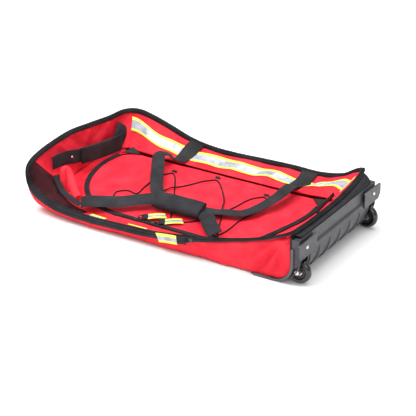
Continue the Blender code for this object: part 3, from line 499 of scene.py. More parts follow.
columns = [outer_wall(28.6 * k / 330, 20) for k in range(331)]
wall_folds = [
    ((0.374, -0.207, 0.118), (0.322, -0.212, 0.022), 0.0070, 0.0085),
    ((0.358, -0.208, 0.110), (0.262, -0.212, 0.026), 0.0085, 0.0075),
    ((0.362, -0.208, 0.100), (0.345, -0.212, 0.030), 0.0060, -0.0080),
    ((0.350, -0.208, 0.100), (0.296, -0.212, 0.026), 0.0070, -0.0075),
    ((0.205, -0.213, 0.055), (0.190, -0.212, 0.012), 0.0160, 0.0025),
    ((0.135, -0.213, 0.040), (0.125, -0.212, 0.010), 0.0180, -0.0020),
    ((0.060, -0.213, 0.034), (0.010, -0.212, 0.012), 0.0150, 0.0022),
    ((-0.160, -0.213, 0.020), (-0.235, -0.205, 0.008), 0.0080, 0.0035),
    ((-0.230, -0.210, 0.024), (-0.290, -0.196, 0.008), 0.0070, -0.0030),
    ((-0.262, -0.208, 0.026), (-0.312, -0.190, 0.010), 0.0080, 0.0040),
    ((-0.340, -0.205, 0.044), (-0.350, -0.175, 0.012), 0.0090, -0.0030),
    ((-0.410, -0.060, 0.140), (-0.402, -0.020, 0.030), 0.0200, 0.0040),
    ((-0.405, 0.060, 0.140), (-0.398, 0.100, 0.040), 0.0180, -0.0035),
    ((-0.120, 0.213, 0.090), (-0.160, 0.210, 0.020), 0.0220, 0.0040),
    ((0.060, 0.213, 0.095), (0.100, 0.210, 0.020), 0.0200, -0.0035),
    ((0.240, 0.213, 0.095), (0.200, 0.210, 0.020), 0.0200, 0.0040),
]
wall = skin("outer_wall_cloth", [list(row) for row in zip(*columns)], folds=wall_folds,
            swell=(0.06, 0.0016),
            centre=(0, 0, 0.06))
keep(wall, RED, "bag", ("near_side_wall", "head_end_wall", "far_side_wall"))


# Bottom panel and stiffener board ----------------------------------------------
# The floor of the bag: coated cloth over a loose plastic board that keeps it flat.
for name, material, slot in (("bottom_panel", RED, "red_fabric"), ("base_board", BOARD, "board")):
    keep(NODES[name], material, None)


# Wheel end band ----------------------------------------------------------------
# Black padded cloth between the perimeter zip and the lip of the moulded base; behind the base it
# goes on down to the floor of the bag.
band_rows = []
for k in range(61):
    u = 29.15 + 5.85 * k / 60
    high = rim_point(u, drop=0.0035)
    y = high.y if abs(high.y) < 0.196 else (0.196 if high.y > 0 else -0.196)
    lip = Vector((0.4085, y, 0.1305))
    roll = bow(high, lip, (0.012, 0, 0.0010), (0.0010, 0, 0.0040), 8)
    back = bow(lip, Vector((0.372, y * 0.98, 0.060)), (-0.012, 0, -0.004), (0.004, 0, 0.020), 4)[1:]
    foot = Vector((0.320, y * 0.965, BASE_TOP + 0.003))
    down = bow(back[-1], foot, (-0.006, 0, -0.024), (0.020, 0, 0.003), 5)[1:]
    band_rows.append(roll + back + down)
band = skin("wheel_end_band", [list(row) for row in zip(*band_rows)], (1, 0, 0.6), swell=(0.03, 0.0012))
keep(band, PIPING, "bag", ("wheel_end_wall",))


# Perimeter zip -----------------------------------------------------------------
# A heavy zip that closes the folded bag all round: two tapes bound in piping, with the coil between
# them. It lies wide and flat along the near side, and is folded narrow round the rest.
def zip_width(u):
    near = smooth(2.6, 5.2, u) * (1 - smooth(10.4, 11.8, u))
    wheel = smooth(29.0, 30.5, u)
    return 0.0105 + 0.0105 * near + 0.0015 * wheel


def zip_lean(u):
    """How far the zip leans outwards, in radians: it faces the near side along that side."""
    near = smooth(1.0, 4.0, u) * (1 - smooth(10.0, 12.0, u))
    return radians(12) + radians(22) * near


def zip_ridges(width):
    """Half cross-section across both tapes: piping, tape, coil, tape, piping."""
    marks = [(-0.50, -0.0010), (-0.47, 0.0020), (-0.38, 0.0028), (-0.29, 0.0012), (-0.22, 0.0004),
             (-0.12, 0.0006), (-0.08, 0.0020), (0.0, 0.0027), (0.08, 0.0020), (0.12, 0.0006),
             (0.22, 0.0004), (0.29, 0.0012), (0.38, 0.0028), (0.47, 0.0020), (0.50, -0.0010)]
    under = [(0.40, -0.0022), (-0.40, -0.0022)]
    return [(s * width, h) for s, h in marks + under]


rim_count = 420
rim_line, rim_up = [], []
for k in range(rim_count):
    u = 35.0 * k / rim_count
    p, ahead, inward = rim_frame(u)
    lean = zip_lean(u)
    up = Vector((0, 0, 1)) * cos(lean) - inward * sin(lean)
    rim_line.append(p + up * 0.0012)
    rim_up.append(up)
rim_tape = sweep("rim_zip_tape", rim_line, lambda t: zip_ridges(zip_width(35.0 * t)), rim_up, closed=True)
keep(rim_tape, ZIP_TAPE, "bag", ("rim_zip",))


# Binding below the perimeter zip -----------------------------------------------
# Bound edge of the zip's inner tape, sewn down over the top of the folded walls inside the bag.
binding_rows = []
for r in range(5):
    row = []
    for k in range(301):
        u = 11.6 + 23.4 * k / 300
        p, ahead, inward = rim_frame(u)
        low = smooth(29.0, 29.8, u)
        reach = (0.0085 - 0.0035 * low) * r / 4
        row.append(p + inward * (0.0052 + 0.10 * reach) - Vector((0, 0, reach - 0.0012)))
    binding_rows.append(row)
binding = skin("rim_binding", binding_rows, centre=(0, 0, 0.4), thickness=0.0016)
keep(binding, PIPING, "bag")


# Folded upper walls ------------------------------------------------------------
# The bag's upper walls, folded in from the perimeter zip down to the seam of the top panel. They are
# one run of the same coated cloth; at the near head corner it is a mesh lined gusset instead.
def far_fold(share):
    """How far the far wall bulges where it is folded, at that share of its length from the head."""
    bulges = ((0.10, 0.030, 0.0030), (0.245, 0.022, -0.0040), (0.29, 0.018, 0.0060),
              (0.43, 0.030, -0.0045),
              (0.50, 0.026, 0.0050), (0.575, 0.024, -0.0050), (0.635, 0.022, 0.0055),
              (0.770, 0.018, -0.0060),
              (0.815, 0.016, 0.0060), (0.90, 0.040, -0.0025))
    return sum(h * exp(-((share - at) / w) ** 2) for at, w, h in bulges)


def far_low(share):
    """Foot of the far upper wall, at the lid's hinge seam."""
    return Vector((-0.345 + 0.663 * share, 0.136 + 0.012 * (1 - share) ** 6, 0.074 + 0.008 * share ** 8))


def far_surface(share, t, lift=0.0):
    """Point of the far upper wall: share runs from head to wheel end and t from zip to lid seam."""
    high = rim_point(17.6 + 11.6 * share, 0.0020, 0.0012)
    low = far_low(share)
    across = low - high
    out = Vector((1, 0, 0)).cross(across).normalized()
    if out.z < 0:
        out = -out
    rise = far_fold(share) * sin(pi * min(max(t, 0.0), 1.0)) ** 1.1
    return high + across * t - Vector((0, 0, 0.030 * t * (1 - t))) + out * (rise + lift)


FOLD_MAP = [(0.0, 13.2), (1.6, 12.7), (9.0, 6.3), (12.8, 4.3), (17.1, 0.6)]


def lower_point(u):
    """Point of the seam that lies below the perimeter zip at u."""
    if u >= 34.7:
        return on_curve(SEAM_KEYS, 13.4 - 0.2 * (u - 34.7) / 0.3)
    if u >= 29.6:
        return on_curve(SEAM_KEYS, 18.7 - 5.3 * (u - 29.6) / 5.1)
    if u >= 29.2:
        return far_low(1.0).lerp(on_curve(SEAM_KEYS, 18.7), (u - 29.2) / 0.4)
    if u >= 17.6:
        return far_low((u - 17.6) / 11.6)
    if u >= 17.1:
        return on_curve(SEAM_KEYS, 0.6).lerp(far_low(0.0), (u - 17.1) / 0.5)
    for (a, seam_a), (b, seam_b) in zip(FOLD_MAP, FOLD_MAP[1:]):
        if u <= b:
            return on_curve(SEAM_KEYS, seam_a + (seam_b - seam_a) * (u - a) / (b - a))


def folded_wall(name, low_u, high_u, count, rows, sag, folds, swell=(0.045, 0.0020)):
    columns = []
    for k in range(count + 1):
        u = low_u + (high_u - low_u) * k / count
        high, low = rim_point(u, 0.0020, 0.0014), lower_point(u % 35.0)
        lean = Vector((0, 0, -sag))
        columns.append(bow(high, low, (low - high) * 0.3 + lean, (high - low) * 0.3 + lean, rows))
    return skin(name, [list(row) for row in zip(*columns)], (0, 0, 1), folds, swell)


near_folds = [
    ((-0.020, -0.208, 0.034), (-0.120, -0.196, 0.032), 0.0060, 0.0020),
    ((0.150, -0.205, 0.052), (0.240, -0.195, 0.062), 0.0080, -0.0025),
]
near_wall = folded_wall("near_folded_wall", 0.0, 8.5, 150, 8, 0.0, near_folds, (0.03, 0.0010))
keep(near_wall, RED, "bag", ("near_upper_wall",))

head_folds = [
    ((-0.414, -0.080, 0.150), (-0.392, -0.035, 0.098), 0.013, 0.0075),
    ((-0.408, -0.020, 0.155), (-0.392, 0.015, 0.110), 0.011, -0.0070),
    ((-0.402, 0.040, 0.150), (-0.394, 0.012, 0.105), 0.012, 0.0070),
    ((-0.398, 0.082, 0.145), (-0.388, 0.045, 0.115), 0.009, -0.0070),
    ((-0.392, 0.118, 0.150), (-0.385, 0.080, 0.100), 0.013, 0.0065),
    ((-0.380, 0.170, 0.150), (-0.372, 0.120, 0.110), 0.012, -0.0040),
    ((-0.396, -0.010, 0.078), (-0.384, 0.080, 0.084), 0.009, 0.0030),
]
head_wall = folded_wall("head_folded_wall", 12.6, 17.62, 120, 22, 0.004, head_folds, (0.05, 0.0030))
keep(head_wall, RED, "bag", ("head_upper_wall",))

rows = [[far_surface(c / 240, r / 16) for c in range(241)] for r in range(17)]
far_wall = skin("far_folded_wall", rows, (0, -0.5, 1), (), (0.05, 0.0006))
keep(far_wall, RED, "bag", ("far_upper_wall",))

wheel_folds = [
    ((0.380, 0.150, 0.130), (0.345, 0.120, 0.092), 0.010, 0.0030),
    ((0.378, -0.130, 0.120), (0.345, -0.150, 0.082), 0.010, -0.0030),
]
wheel_wall = folded_wall("wheel_folded_wall", 29.15, 35.0, 110, 14, 0.004, wheel_folds, (0.04, 0.0016))
keep(wheel_wall, RED, "bag", ("wheel_end_upper_wall",))

gusset = folded_wall("corner_gusset", 8.5, 12.6, 90, 16, 0.006, [
    ((-0.415, -0.165, 0.110), (-0.380, -0.150, 0.060), 0.010, 0.0050),
    ((-0.395, -0.185, 0.075), (-0.360, -0.155, 0.050), 0.008, -0.0040),
    ((-0.408, -0.130, 0.120), (-0.385, -0.120, 0.070), 0.008, 0.0060),
], (0.03, 0.0030))
keep(gusset, NET, "bag", ("corner_mesh_gusset",))


# Crumpled corner ---------------------------------------------------------------
# Slack cloth of the folded head corner stands up as one doubled fold, next to a flap of black lining.
rings = []
spine = path([Vector(p) for p in [(-0.366, -0.130, 0.046), (-0.371, -0.129, 0.074),
                                  (-0.376, -0.122, 0.097),
                                  (-0.373, -0.111, 0.103), (-0.362, -0.112, 0.090),
                                  (-0.343, -0.125, 0.070),
                                  (-0.324, -0.139, 0.055), (-0.306, -0.151, 0.046)]], 70)
ways = [Vector((0.45, -0.72, 0.53)) for p in spine]


def fold_profile(share):
    """Flattened tube of cloth, fuller towards its long leg."""
    wide = 0.0085 + 0.0030 * smooth(0.3, 0.8, share) - 0.0030 * exp(-((share - 0.42) / 0.08) ** 2)
    return [(wide * cos(2 * pi * k / 20), 0.0050 * sin(2 * pi * k / 20)) for k in range(20)]


fold = sweep("corner_fold", spine, fold_profile, ways)
keep(fold, RED, "bag")
flap = webbing("corner_flap", path([Vector(p) for p in [
    (-0.392, -0.132, 0.084), (-0.376, -0.142, 0.066), (-0.350, -0.156, 0.053), (-0.312, -0.172, 0.049),
    (-0.272, -0.186, 0.046)]], 40), 0.016, 0.0014, up=(0.35, -0.5, 0.8))
keep(flap, ZIP_TAPE, "bag")


# Top panel ---------------------------------------------------------------------
# The U of cloth between the seam and the lid's zip. It sags a little between them.
columns = []
seam_line = path(SEAM_KEYS, 200, 0.0, 19.0)
zip_line = lid_edge(0.0062, 200, 0.0002, 0.0, 19.0)
for a, b in zip(seam_line, zip_line):
    drop = Vector((0, 0, -0.20 * (a - b).length))
    columns.append(bow(a, b, (b - a) * 0.3 + drop, (a - b) * 0.3 + drop * 0.3, 10))
panel = skin("top_panel_cloth", [list(row) for row in zip(*columns)], (0, 0, 1), [
    ((-0.386, 0.050, 0.060), (-0.366, 0.030, 0.060), 0.007, 0.0025),
    ((0.250, -0.150, 0.050), (0.300, -0.120, 0.064), 0.008, 0.0025),
    ((0.200, -0.180, 0.048), (0.140, -0.176, 0.040), 0.006, 0.0020),
    ((0.310, 0.040, 0.074), (0.330, 0.080, 0.082), 0.008, -0.0020),
], (0.03, 0.0012))
keep(panel, RED, "bag", ("top_panel",))


# Lid ---------------------------------------------------------------------------
# One flat panel of cloth, hinged on its far seam. The bungee's loops pull it into shallow puckers.
LID_FOLDS = [
    ((-0.146, 0.082), (-0.180, 0.010), 0.011, 0.0016), ((-0.146, 0.082), (-0.100, 0.000), 0.010, 0.0014),
    ((-0.018, 0.104), (0.060, 0.040), 0.012, 0.0020), ((-0.018, 0.104), (0.020, 0.000), 0.010, 0.0016),
    ((-0.014, 0.098), (-0.070, 0.030), 0.011, -0.0014), ((0.150, 0.080), (0.200, -0.010), 0.012, 0.0020),
    ((0.150, 0.080), (0.110, 0.020), 0.011, 0.0014), ((0.138, -0.152), (0.210, -0.090), 0.012, 0.0022),
    ((0.138, -0.150), (0.190, -0.120), 0.008, -0.0016), ((0.138, -0.152), (0.080, -0.100), 0.011, 0.0016),
    ((0.100, -0.060), (0.180, -0.075), 0.013, 0.0018),
             ((-0.004, -0.146), (-0.060, -0.110), 0.010, 0.0016),
    ((-0.226, -0.122), (-0.260, -0.050), 0.012, 0.0014),
             ((0.215, 0.040), (0.265, -0.010), 0.012, -0.0016),
    ((-0.330, 0.100), (-0.300, 0.020), 0.014, 0.0012), ((-0.200, 0.120), (-0.130, 0.136), 0.010, -0.0010),
]


def lid_top(x, y):
    """Height of the lid's outer face."""
    flat = Vector((x, y, 0))
    high = 0.0
    for (ax, ay), (bx, by), width, height in LID_FOLDS:
        d = to_segment(flat, Vector((ax, ay, 0)), Vector((bx, by, 0))) / width
        if d < 3:
            high += height * exp(-d * d)
    return lid_height(y) + 0.0012 + high + ripple(flat, 0.06, 0.0010)


near_edge = lid_edge(-0.0058, 150, 0.0, 0.0, 19.0)
rows = []
for r in range(61):
    row = []
    for k, edge in enumerate(near_edge):
        p = Vector((-0.316 + 0.617 * k / 150, 0.1293, 0.0)).lerp(edge, r / 60)
        row.append(Vector((p.x, p.y, lid_top(p.x, p.y))))
    rows.append(row)
lid = skin("lid_cloth", rows, (0, 0, 1), thickness=0.0018)
keep(lid, RED, "lid", ("lid_panel",))


# Lid zip -----------------------------------------------------------------------
# A coil zip in a U. The outer tape is sewn to the bag and the inner one to the lid, so each is its
# own piece; at both far ends a triangle of bound cloth covers the end of the coil.
def zip_half(width):
    """One tape with its bound edge and half of the coil, coil on the left."""
    return [(0.0, -0.0016), (-width, -0.0016), (-width, 0.0012), (-0.84 * width, 0.0022),
            (-0.66 * width, 0.0024), (-0.50 * width, 0.0010), (-0.28 * width, 0.0009),
            (-0.16 * width, 0.0023), (0.0, 0.0026)]


outer_line = lid_edge(0.0001, 320, 0.0024)
outer = sweep("lid_zip_outer", outer_line, [(-s, h) for s, h in zip_half(0.0068)])
keep(outer, ZIP_TAPE, "bag", ("lid_zip_bag_half",))
inner_line = lid_edge(-0.0001, 320, 0.0024)
inner = sweep("lid_zip_inner", inner_line, zip_half(0.0068))
keep(inner, ZIP_TAPE, "lid", ("lid_zip_lid_half",))


# Zip garages: a triangle of bound cloth over each far end of the lid's zip.
for name, corners in (("zip_garage_left", ((-0.343, 0.112, 0.0735), (-0.322, 0.140, 0.0860),
                                           (-0.288, 0.128, 0.0745))),
                      ("zip_garage_right", ((0.268, 0.1265, 0.0745), (0.309, 0.128, 0.0800),
                                            (0.304, 0.092, 0.0735)))):
    a, b, c = (Vector(p) for p in corners)
    rows = [[a.lerp(b, t).lerp(c.lerp(b, t), k / 8) + Vector((0, 0, 0.0012 * sin(pi * k / 8)))
             for k in range(9)] for t in (j / 8 * 0.98 for j in range(9))]
    garage = skin(name, rows, (0, 0, 1), thickness=0.0014)
    keep(garage, PIPING, "bag")


# Long reflective tape ----------------------------------------------------------
# 44 mm retroreflective tape with fluorescent selvedges, sewn along the far wall; it follows that
# wall's folds, and a short end of it turns up round the corner onto the wheel end wall.
def tape_middle(share):
    """Where the tape's centre line lies between the zip (0) and the lid seam (1)."""
    wave = ((0.16, 0.06, 0.05), (0.31, 0.04, 0.06), (0.42, 0.05, -0.05), (0.60, 0.035, -0.05),
            (0.72, 0.035, 0.05), (0.80, 0.025, 0.10), (0.90, 0.05, -0.07))
    return 0.47 - 0.16 * exp(-(share / 0.12) ** 2) + sum(h * exp(-((share - at) / w) ** 2) for at,
                                                         w, h in wave)


def tape_row(edge, low, high, count, width, lift):
    row = []
    for k in range(count + 1):
        share = low + (high - low) * k / count
        wide = (far_surface(share, 1.0) - far_surface(share, 0.0)).length
        row.append(far_surface(share, tape_middle(share) + edge * width / wide, lift))
    return row


rows = [tape_row(-0.5 + r / 8, 0.004, 0.985, 260, 0.038, 0.0026) for r in range(9)]
tape = skin("far_tape", rows, (0, -0.5, 1), thickness=0.0005)
keep(tape, TAPE_WIDE, "bag", ("far_reflective_tape",))

rows = []
for r in range(4):
    row = []
    for k in range(13):
        u = 29.42 + 0.20 * r / 3
        high, low = rim_point(u, 0.0010, 0.0060), lower_point(u)
        row.append(high.lerp(low, 0.08 + 0.60 * k / 12) + Vector((-0.0022, -0.0010, 0.0014)))
    rows.append(row)
turned_tape = skin("turned_up_tape", rows, (-1, 0, 1), thickness=0.0005)
keep(turned_tape, TAPE_TAB, "bag")

for name, low_u, high_u, top, wide, replaced in (("near_tape_short", 7.70, 8.25, 0.50, 0.34,
                                                  ("near_reflective_tape",)),
                                                 ("near_tape_long", 6.05, 6.90, 0.80, 0.16, ())):
    rows = []
    for r in range(6):
        row = []
        for k in range(31):
            u = low_u + (high_u - low_u) * k / 30
            high, low = rim_point(u, 0.0020, 0.0014), lower_point(u)
            row.append(high.lerp(low, top + wide * r / 5) + Vector((0, -0.0004, 0.0024)))
        rows.append(row)
    near_tape = skin(name, rows, (0, 0, 1), thickness=0.0005)
    keep(near_tape, TAPE_TAB, "bag", replaced)


# Straps across the far wall ----------------------------------------------------
# Two 40 mm webbing straps sewn down across the wall and over the tape, from the zip to the lid seam.
for name, top, low in (("far_wall_strap_left", 0.323, 0.270), ("far_wall_strap_right", 0.696, 0.800)):
    rows = []
    for r in range(15):
        side = -1 + 2 * r / 14
        row = []
        for k in range(41):
            t = 0.02 + 0.96 * k / 40
            share = top + (low - top) * t + (0.0270 + 0.0050 * t) * side
            row.append(far_surface(share, t, 0.0052))
        rows.append(row)
    strap = skin(name + "_webbing", rows, (0, -0.5, 1), thickness=0.0016)
    keep(strap, WEBBING, "bag", (name,))


# Moulded wheel base ------------------------------------------------------------
# Injection moulded shell that carries the wheels: a recessed upper panel, six overlapping skid ribs,
# a raised plate with a rivet at each end. The CAD solids are kept as they are and given their materials.
for name in ("wheel_base", "wheel_bracket_near", "wheel_bracket_far", "wheel_fork_near",
             "wheel_fork_far"):
    keep(NODES[name], PLASTIC, None)
for name in ("corner_guard_near", "corner_guard_far"):
    keep(NODES[name], PLASTIC_LIGHT, None)
for name in ("bracket_rivet_near", "bracket_rivet_far", "axle_near", "axle_far", "wheel_bearing_near",
             "wheel_bearing_far", "head_handle_rivet"):
    keep(NODES[name], STEEL, None)
    NODES[name].data.polygons.foreach_set("use_smooth", [True] * len(NODES[name].data.polygons))


# End cheeks of the wheel base: they close the shell above each wheel.
for side, word in ((-1, "near"), (1, "far")):
    outline = [(0.3840, 0.1255), (0.4100, 0.1255), (0.4100, 0.0985), (0.4138, 0.0930), (0.4138, 0.0800),
               (0.4120, 0.0660), (0.4070, 0.0560), (0.3980, 0.0490), (0.3900, 0.0465), (0.3880, 0.0480)]
    mesh = bpy.data.meshes.new("base_cheek_" + word)
    outer_y, inner_y = side * 0.2080, side * 0.2050
    count = len(outline)
    points = [(x, outer_y, z) for x, z in outline] + [(x, inner_y, z) for x, z in outline]
    faces = [tuple(range(count)), tuple(range(2 * count - 1, count - 1, -1))]
    faces += [(k, k + count, (k + 1) % count + count, (k + 1) % count) for k in range(count)]
    mesh.from_pydata(points, [], faces)
    cheek = bpy.data.objects.new("base_cheek_" + word, mesh)
    bpy.context.scene.collection.objects.link(cheek)
    soften = cheek.modifiers.new("edge", "BEVEL")
    soften.width = 0.0008
    soften.segments = 2
    keep(cheek, PLASTIC, "bag")

# Skid ribs: overlapping scales with a dark step between them, moulded proud of the shell.
rows = []
for r in range(49):
    a = pi / 2 * (-0.10 + 1.02 * r / 48)
    row = []
    for c in range(521):
        y = -0.160 + 0.320 * c / 520
        t = min(max(a / (pi / 2), 0.0), 1.0)
        scale = (y + 0.165 + 0.030 * t ** 1.5) / 0.0550 % 1.0
        weight = sin(pi * min(max(t * 1.04, 0.0), 1.0)) ** 0.6
        step = 0.0046 * (1 - scale) * weight - (0.0060 * weight if scale > 0.955 else 0.0)
        reach = 0.0777 + max(step, -0.001)
        if a < 0:
            row.append(Vector((0.337 + 0.0777, y, 0.0775 - 0.0775 * a * 1.2)))
        else:
            row.append(Vector((0.337 + reach * cos(a), y, max(0.0775 - reach * sin(a), 0.0004))))
    rows.append(row)
ribs = skin("skid_ribs", rows, (1, 0, -0.5), thickness=0.0004)
keep(ribs, PLASTIC, "bag")


# Wheels ------------------------------------------------------------------------
# Inline-skate style wheels: a cast polyurethane tyre on a plastic hub with a ball bearing.
def turned_piece(name, profile, at, steps=64):
    """A piece turned about Y through at; the profile is (radius, station) and is closed."""
    rings = []
    for k in range(steps):
        a = 2 * pi * k / steps
        rings.append([Vector((at[0] + r * cos(a), at[1] + s, at[2] + r * sin(a))) for r, s in profile])
    rings.append([v.copy() for v in rings[0]])
    mesh = grid_mesh(name, rings, closed=True)
    shape = bmesh.new()
    shape.from_mesh(mesh)
    bmesh.ops.remove_doubles(shape, verts=shape.verts, dist=1e-6)
    bmesh.ops.recalc_face_normals(shape, faces=shape.faces)
    shape.to_mesh(mesh)
    shape.free()
    mesh.set_sharp_from_angle(angle=radians(40))
    obj = bpy.data.objects.new(name, mesh)
    bpy.context.scene.collection.objects.link(obj)
    return obj


for side, word in ((-1, "near"), (1, "far")):
    at = (0.400, side * 0.185, 0.0333)
    tread = [(0.0198, 0.0072), (0.0206, 0.0082), (0.0236, 0.0098), (0.0262, 0.0098)]
    tread += [(0.0238 + 0.0091 * cos(radians(75 - 15 * k)),
               0.0102 * sin(radians(75 - 15 * k))) for k in range(11)]
    tread += [(r, -s) for r, s in reversed(tread[:4])]
    tyre = turned_piece("tyre_%s_cast" % word, tread, at)
    keep(tyre, TYRE, word + "_wheel", ("tyre_" + word,))
    hub = turned_piece("hub_%s_moulded" % word, [
        (0.0112, 0.0062), (0.0118, 0.0070), (0.0128, 0.0070), (0.0135, 0.0058), (0.0165, 0.0056),
        (0.0172, 0.0068), (0.0190, 0.0070), (0.0196, 0.0064), (0.0196, -0.0064), (0.0190, -0.0070),
        (0.0172, -0.0068), (0.0165, -0.0056), (0.0135, -0.0058), (0.0128, -0.0070), (0.0118, -0.0070),
        (0.0112, -0.0062)], at)
    keep(hub, HUB, word + "_wheel", ("wheel_hub_" + word,))


# Corner piping -----------------------------------------------------------------
# Bound piping where the outer wall meets the wheel end, inside each corner guard, with a black strip
# behind it that is painted shade: a dark sheet standing for the shadowed gap between the wall and the
# wheel base.
for side, word in ((-1, "near"), (1, "far")):
    line = [guard_line(k / 60, side) + Vector((0.0022, side * 0.0030, 0)) for k in range(4, 61)]
    cord_piping = sweep("corner_piping_" + word, line, round_profile(0.0026), (0, 1, 0))
    keep(cord_piping, PIPING, "bag")
    # Painted shade: a black strip along the wall's end edge, in place of the shadow in the gap next to
    # the wheel base.
    strip = [[guard_line(k / 60, side) + Vector((0.0005 + 0.0016 * r, -side * 0.0010 * r,
                                                 0)) for k in range(4, 61)]
             for r in range(6)]
    shade_strip = skin("corner_shade_strip_" + word, strip, (0.3, side, 0))
    keep(shade_strip, ZIP_TAPE, "bag")


# Carry handles -----------------------------------------------------------------
# Two handles of 40 mm webbing sewn to the bag on either side of the lid and gathered in one wrap.
NEAR_LEFT = [(-0.272, -0.1820, 0.0500), (-0.258, -0.176, 0.0560), (-0.220, -0.166, 0.0610),
             (-0.170, -0.148, 0.0650), (-0.130, -0.118, 0.0690), (-0.094, -0.092, 0.0715)]
NEAR_RIGHT = [(0.062, -0.092, 0.0720), (0.088, -0.116, 0.0690), (0.112, -0.141, 0.0640),
              (0.134, -0.160, 0.0620), (0.146, -0.1720, 0.0620)]
FAR_HANDLE = [(-0.186, 0.1390, 0.0865), (-0.199, 0.124, 0.0990), (-0.204, 0.098, 0.1030),
              (-0.172, 0.040, 0.0900),
              (-0.128, -0.030, 0.0700), (-0.090, -0.058, 0.0598), (-0.010, -0.062, 0.0592),
              (0.062, -0.062, 0.0610),
              (0.110, -0.054, 0.0665), (0.150, -0.036, 0.0670), (0.180, 0.008, 0.0770),
              (0.200, 0.058, 0.0910),
              (0.206, 0.098, 0.1000), (0.206, 0.124, 0.0985), (0.206, 0.1390, 0.0880)]


HANDLE_UP = (0, -0.47, 0.88)
left = webbing("near_handle_left", path([Vector(p) for p in NEAR_LEFT], 60), 0.040, up=HANDLE_UP)
right = webbing("near_handle_right", path([Vector(p) for p in NEAR_RIGHT], 40), 0.040, up=HANDLE_UP)
keep(left, WEBBING, "near_handle")
keep(right, WEBBING, "near_handle", ("near_carry_handle",))
far = webbing("far_handle_webbing", path([Vector(p) for p in FAR_HANDLE], 200), 0.036)
keep(far, WEBBING, "lid", ("far_carry_handle",))


# Padded handle wrap ------------------------------------------------------------
# A foam pad in webbing cloth, wrapped round both handles and closed on itself with hook and loop.
low, high = Vector((-0.0885, -0.0920, 0.0715)), Vector((0.0565, -0.0920, 0.0720))
along = (high - low).normalized()
across = Vector((0, 0.88, 0.47)).normalized()
up = along.cross(across)
rings = []
for k in range(33):
    f = k / 32
    end = min(f, 1 - f) * 32
    full = 1 - 0.35 * exp(-end * 1.2)
    ring = []
    for c in range(28):
        a = 2 * pi * c / 28
        flat = 0.0255 * abs(cos(a)) ** 0.55 * (1 if cos(a) > 0 else -1)
        tall = (0.0120 + 0.0024 * sin(pi * f)) * full * abs(sin(a)) ** 0.75 * (1 if sin(a) > 0 else -1)
        point = low.lerp(high, f) + across * flat + up * tall
        ring.append(point + up * ripple(point, 0.020, 0.0014))
    rings.append(ring)
mesh = grid_mesh("handle_wrap_pad", rings, closed=True)
shape = bmesh.new()
shape.from_mesh(mesh)
shape.verts.ensure_lookup_table()
for ring in (range(28), range(32 * 28 + 27, 32 * 28 - 1, -1)):
    shape.faces.new([shape.verts[k] for k in ring])
bmesh.ops.recalc_face_normals(shape, faces=shape.faces)
shape.to_mesh(mesh)
shape.free()
wrap = bpy.data.objects.new("handle_wrap_pad", mesh)
bpy.context.scene.collection.objects.link(wrap)
keep(wrap, WEBBING, "near_handle", ("handle_wrap",))


# Head grab handle --------------------------------------------------------------
# Webbing handle across the head end with a padded grip and one rivet.
HEAD_HANDLE = [Vector(p) for p in [
    (-0.4020, -0.132, 0.116), (-0.3970, -0.104, 0.118), (-0.3920, -0.072, 0.115),
                                   (-0.3870, -0.040, 0.108),
    (-0.3780, 0.020, 0.102), (-0.3700, 0.080, 0.098), (-0.3660, 0.128, 0.097), (-0.3650, 0.150, 0.097)]]
strap = webbing("head_handle_strap", path(HEAD_HANDLE, 80), 0.040, up=(1, 0, 0))
keep(strap, WEBBING, "head_handle", ("head_handle_webbing",))
rings = []
line = path(HEAD_HANDLE, 30, 3.2, 6.2)
for k, p in enumerate(line):
    ahead = (line[min(k + 1, 30)] - line[max(k - 1, 0)]).normalized()
    out = ahead.cross(Vector((0, 0, 1))).normalized()
    full = 1 - 0.45 * exp(-min(k, 30 - k) * 1.1)
    ring = []
    for c in range(24):
        a = 2 * pi * c / 24
        thick = 0.0042 * full * abs(cos(a)) ** 0.7 * (1 if cos(a) > 0 else -1) + 0.0062
        tall = 0.0245 * abs(sin(a)) ** 0.6 * (1 if sin(a) > 0 else -1)
        ring.append(p + out * thick + Vector((0, 0, tall)))
    rings.append(ring)
mesh = grid_mesh("head_handle_pad", rings, closed=True)
shape = bmesh.new()
shape.from_mesh(mesh)
shape.verts.ensure_lookup_table()
for ring in (range(24), range(30 * 24 + 23, 30 * 24 - 1, -1)):
    shape.faces.new([shape.verts[k] for k in ring])
bmesh.ops.recalc_face_normals(shape, faces=shape.faces)
shape.to_mesh(mesh)
shape.free()
grip = bpy.data.objects.new("head_handle_pad", mesh)
bpy.context.scene.collection.objects.link(grip)
keep(grip, WEBBING, "head_handle", ("head_handle_grip",))


# Patch that holds the far end of the head handle: broad webbing turned up onto the head wall.
patch = webbing("head_handle_patch", path([Vector(p) for p in [
    (-0.3660, 0.126, 0.100), (-0.3680, 0.142, 0.112), (-0.3700, 0.156, 0.125),
                                                               (-0.3740, 0.166, 0.134)]], 24), 0.044,
    0.0024, up=(1, -0.4, 0.1))
keep(patch, WEBBING, "bag")


# Wheel end handle --------------------------------------------------------------
# A plain strap of 20 mm webbing, seen edge on inside the wheel end.
keys = [Vector(p) for p in [(0.3370, 0.016, 0.094), (0.3365, 0.032, 0.098), (0.3355, 0.060, 0.101),
                            (0.3335, 0.090, 0.102), (0.3310, 0.114, 0.102), (0.3300, 0.127, 0.101)]]
strap = webbing("wheel_end_strap", path(keys, 40), 0.012, 0.0034, up=(1, 0, 0.3))
keep(strap, WEBBING, "wheel_end_handle_body", ("wheel_end_handle",))


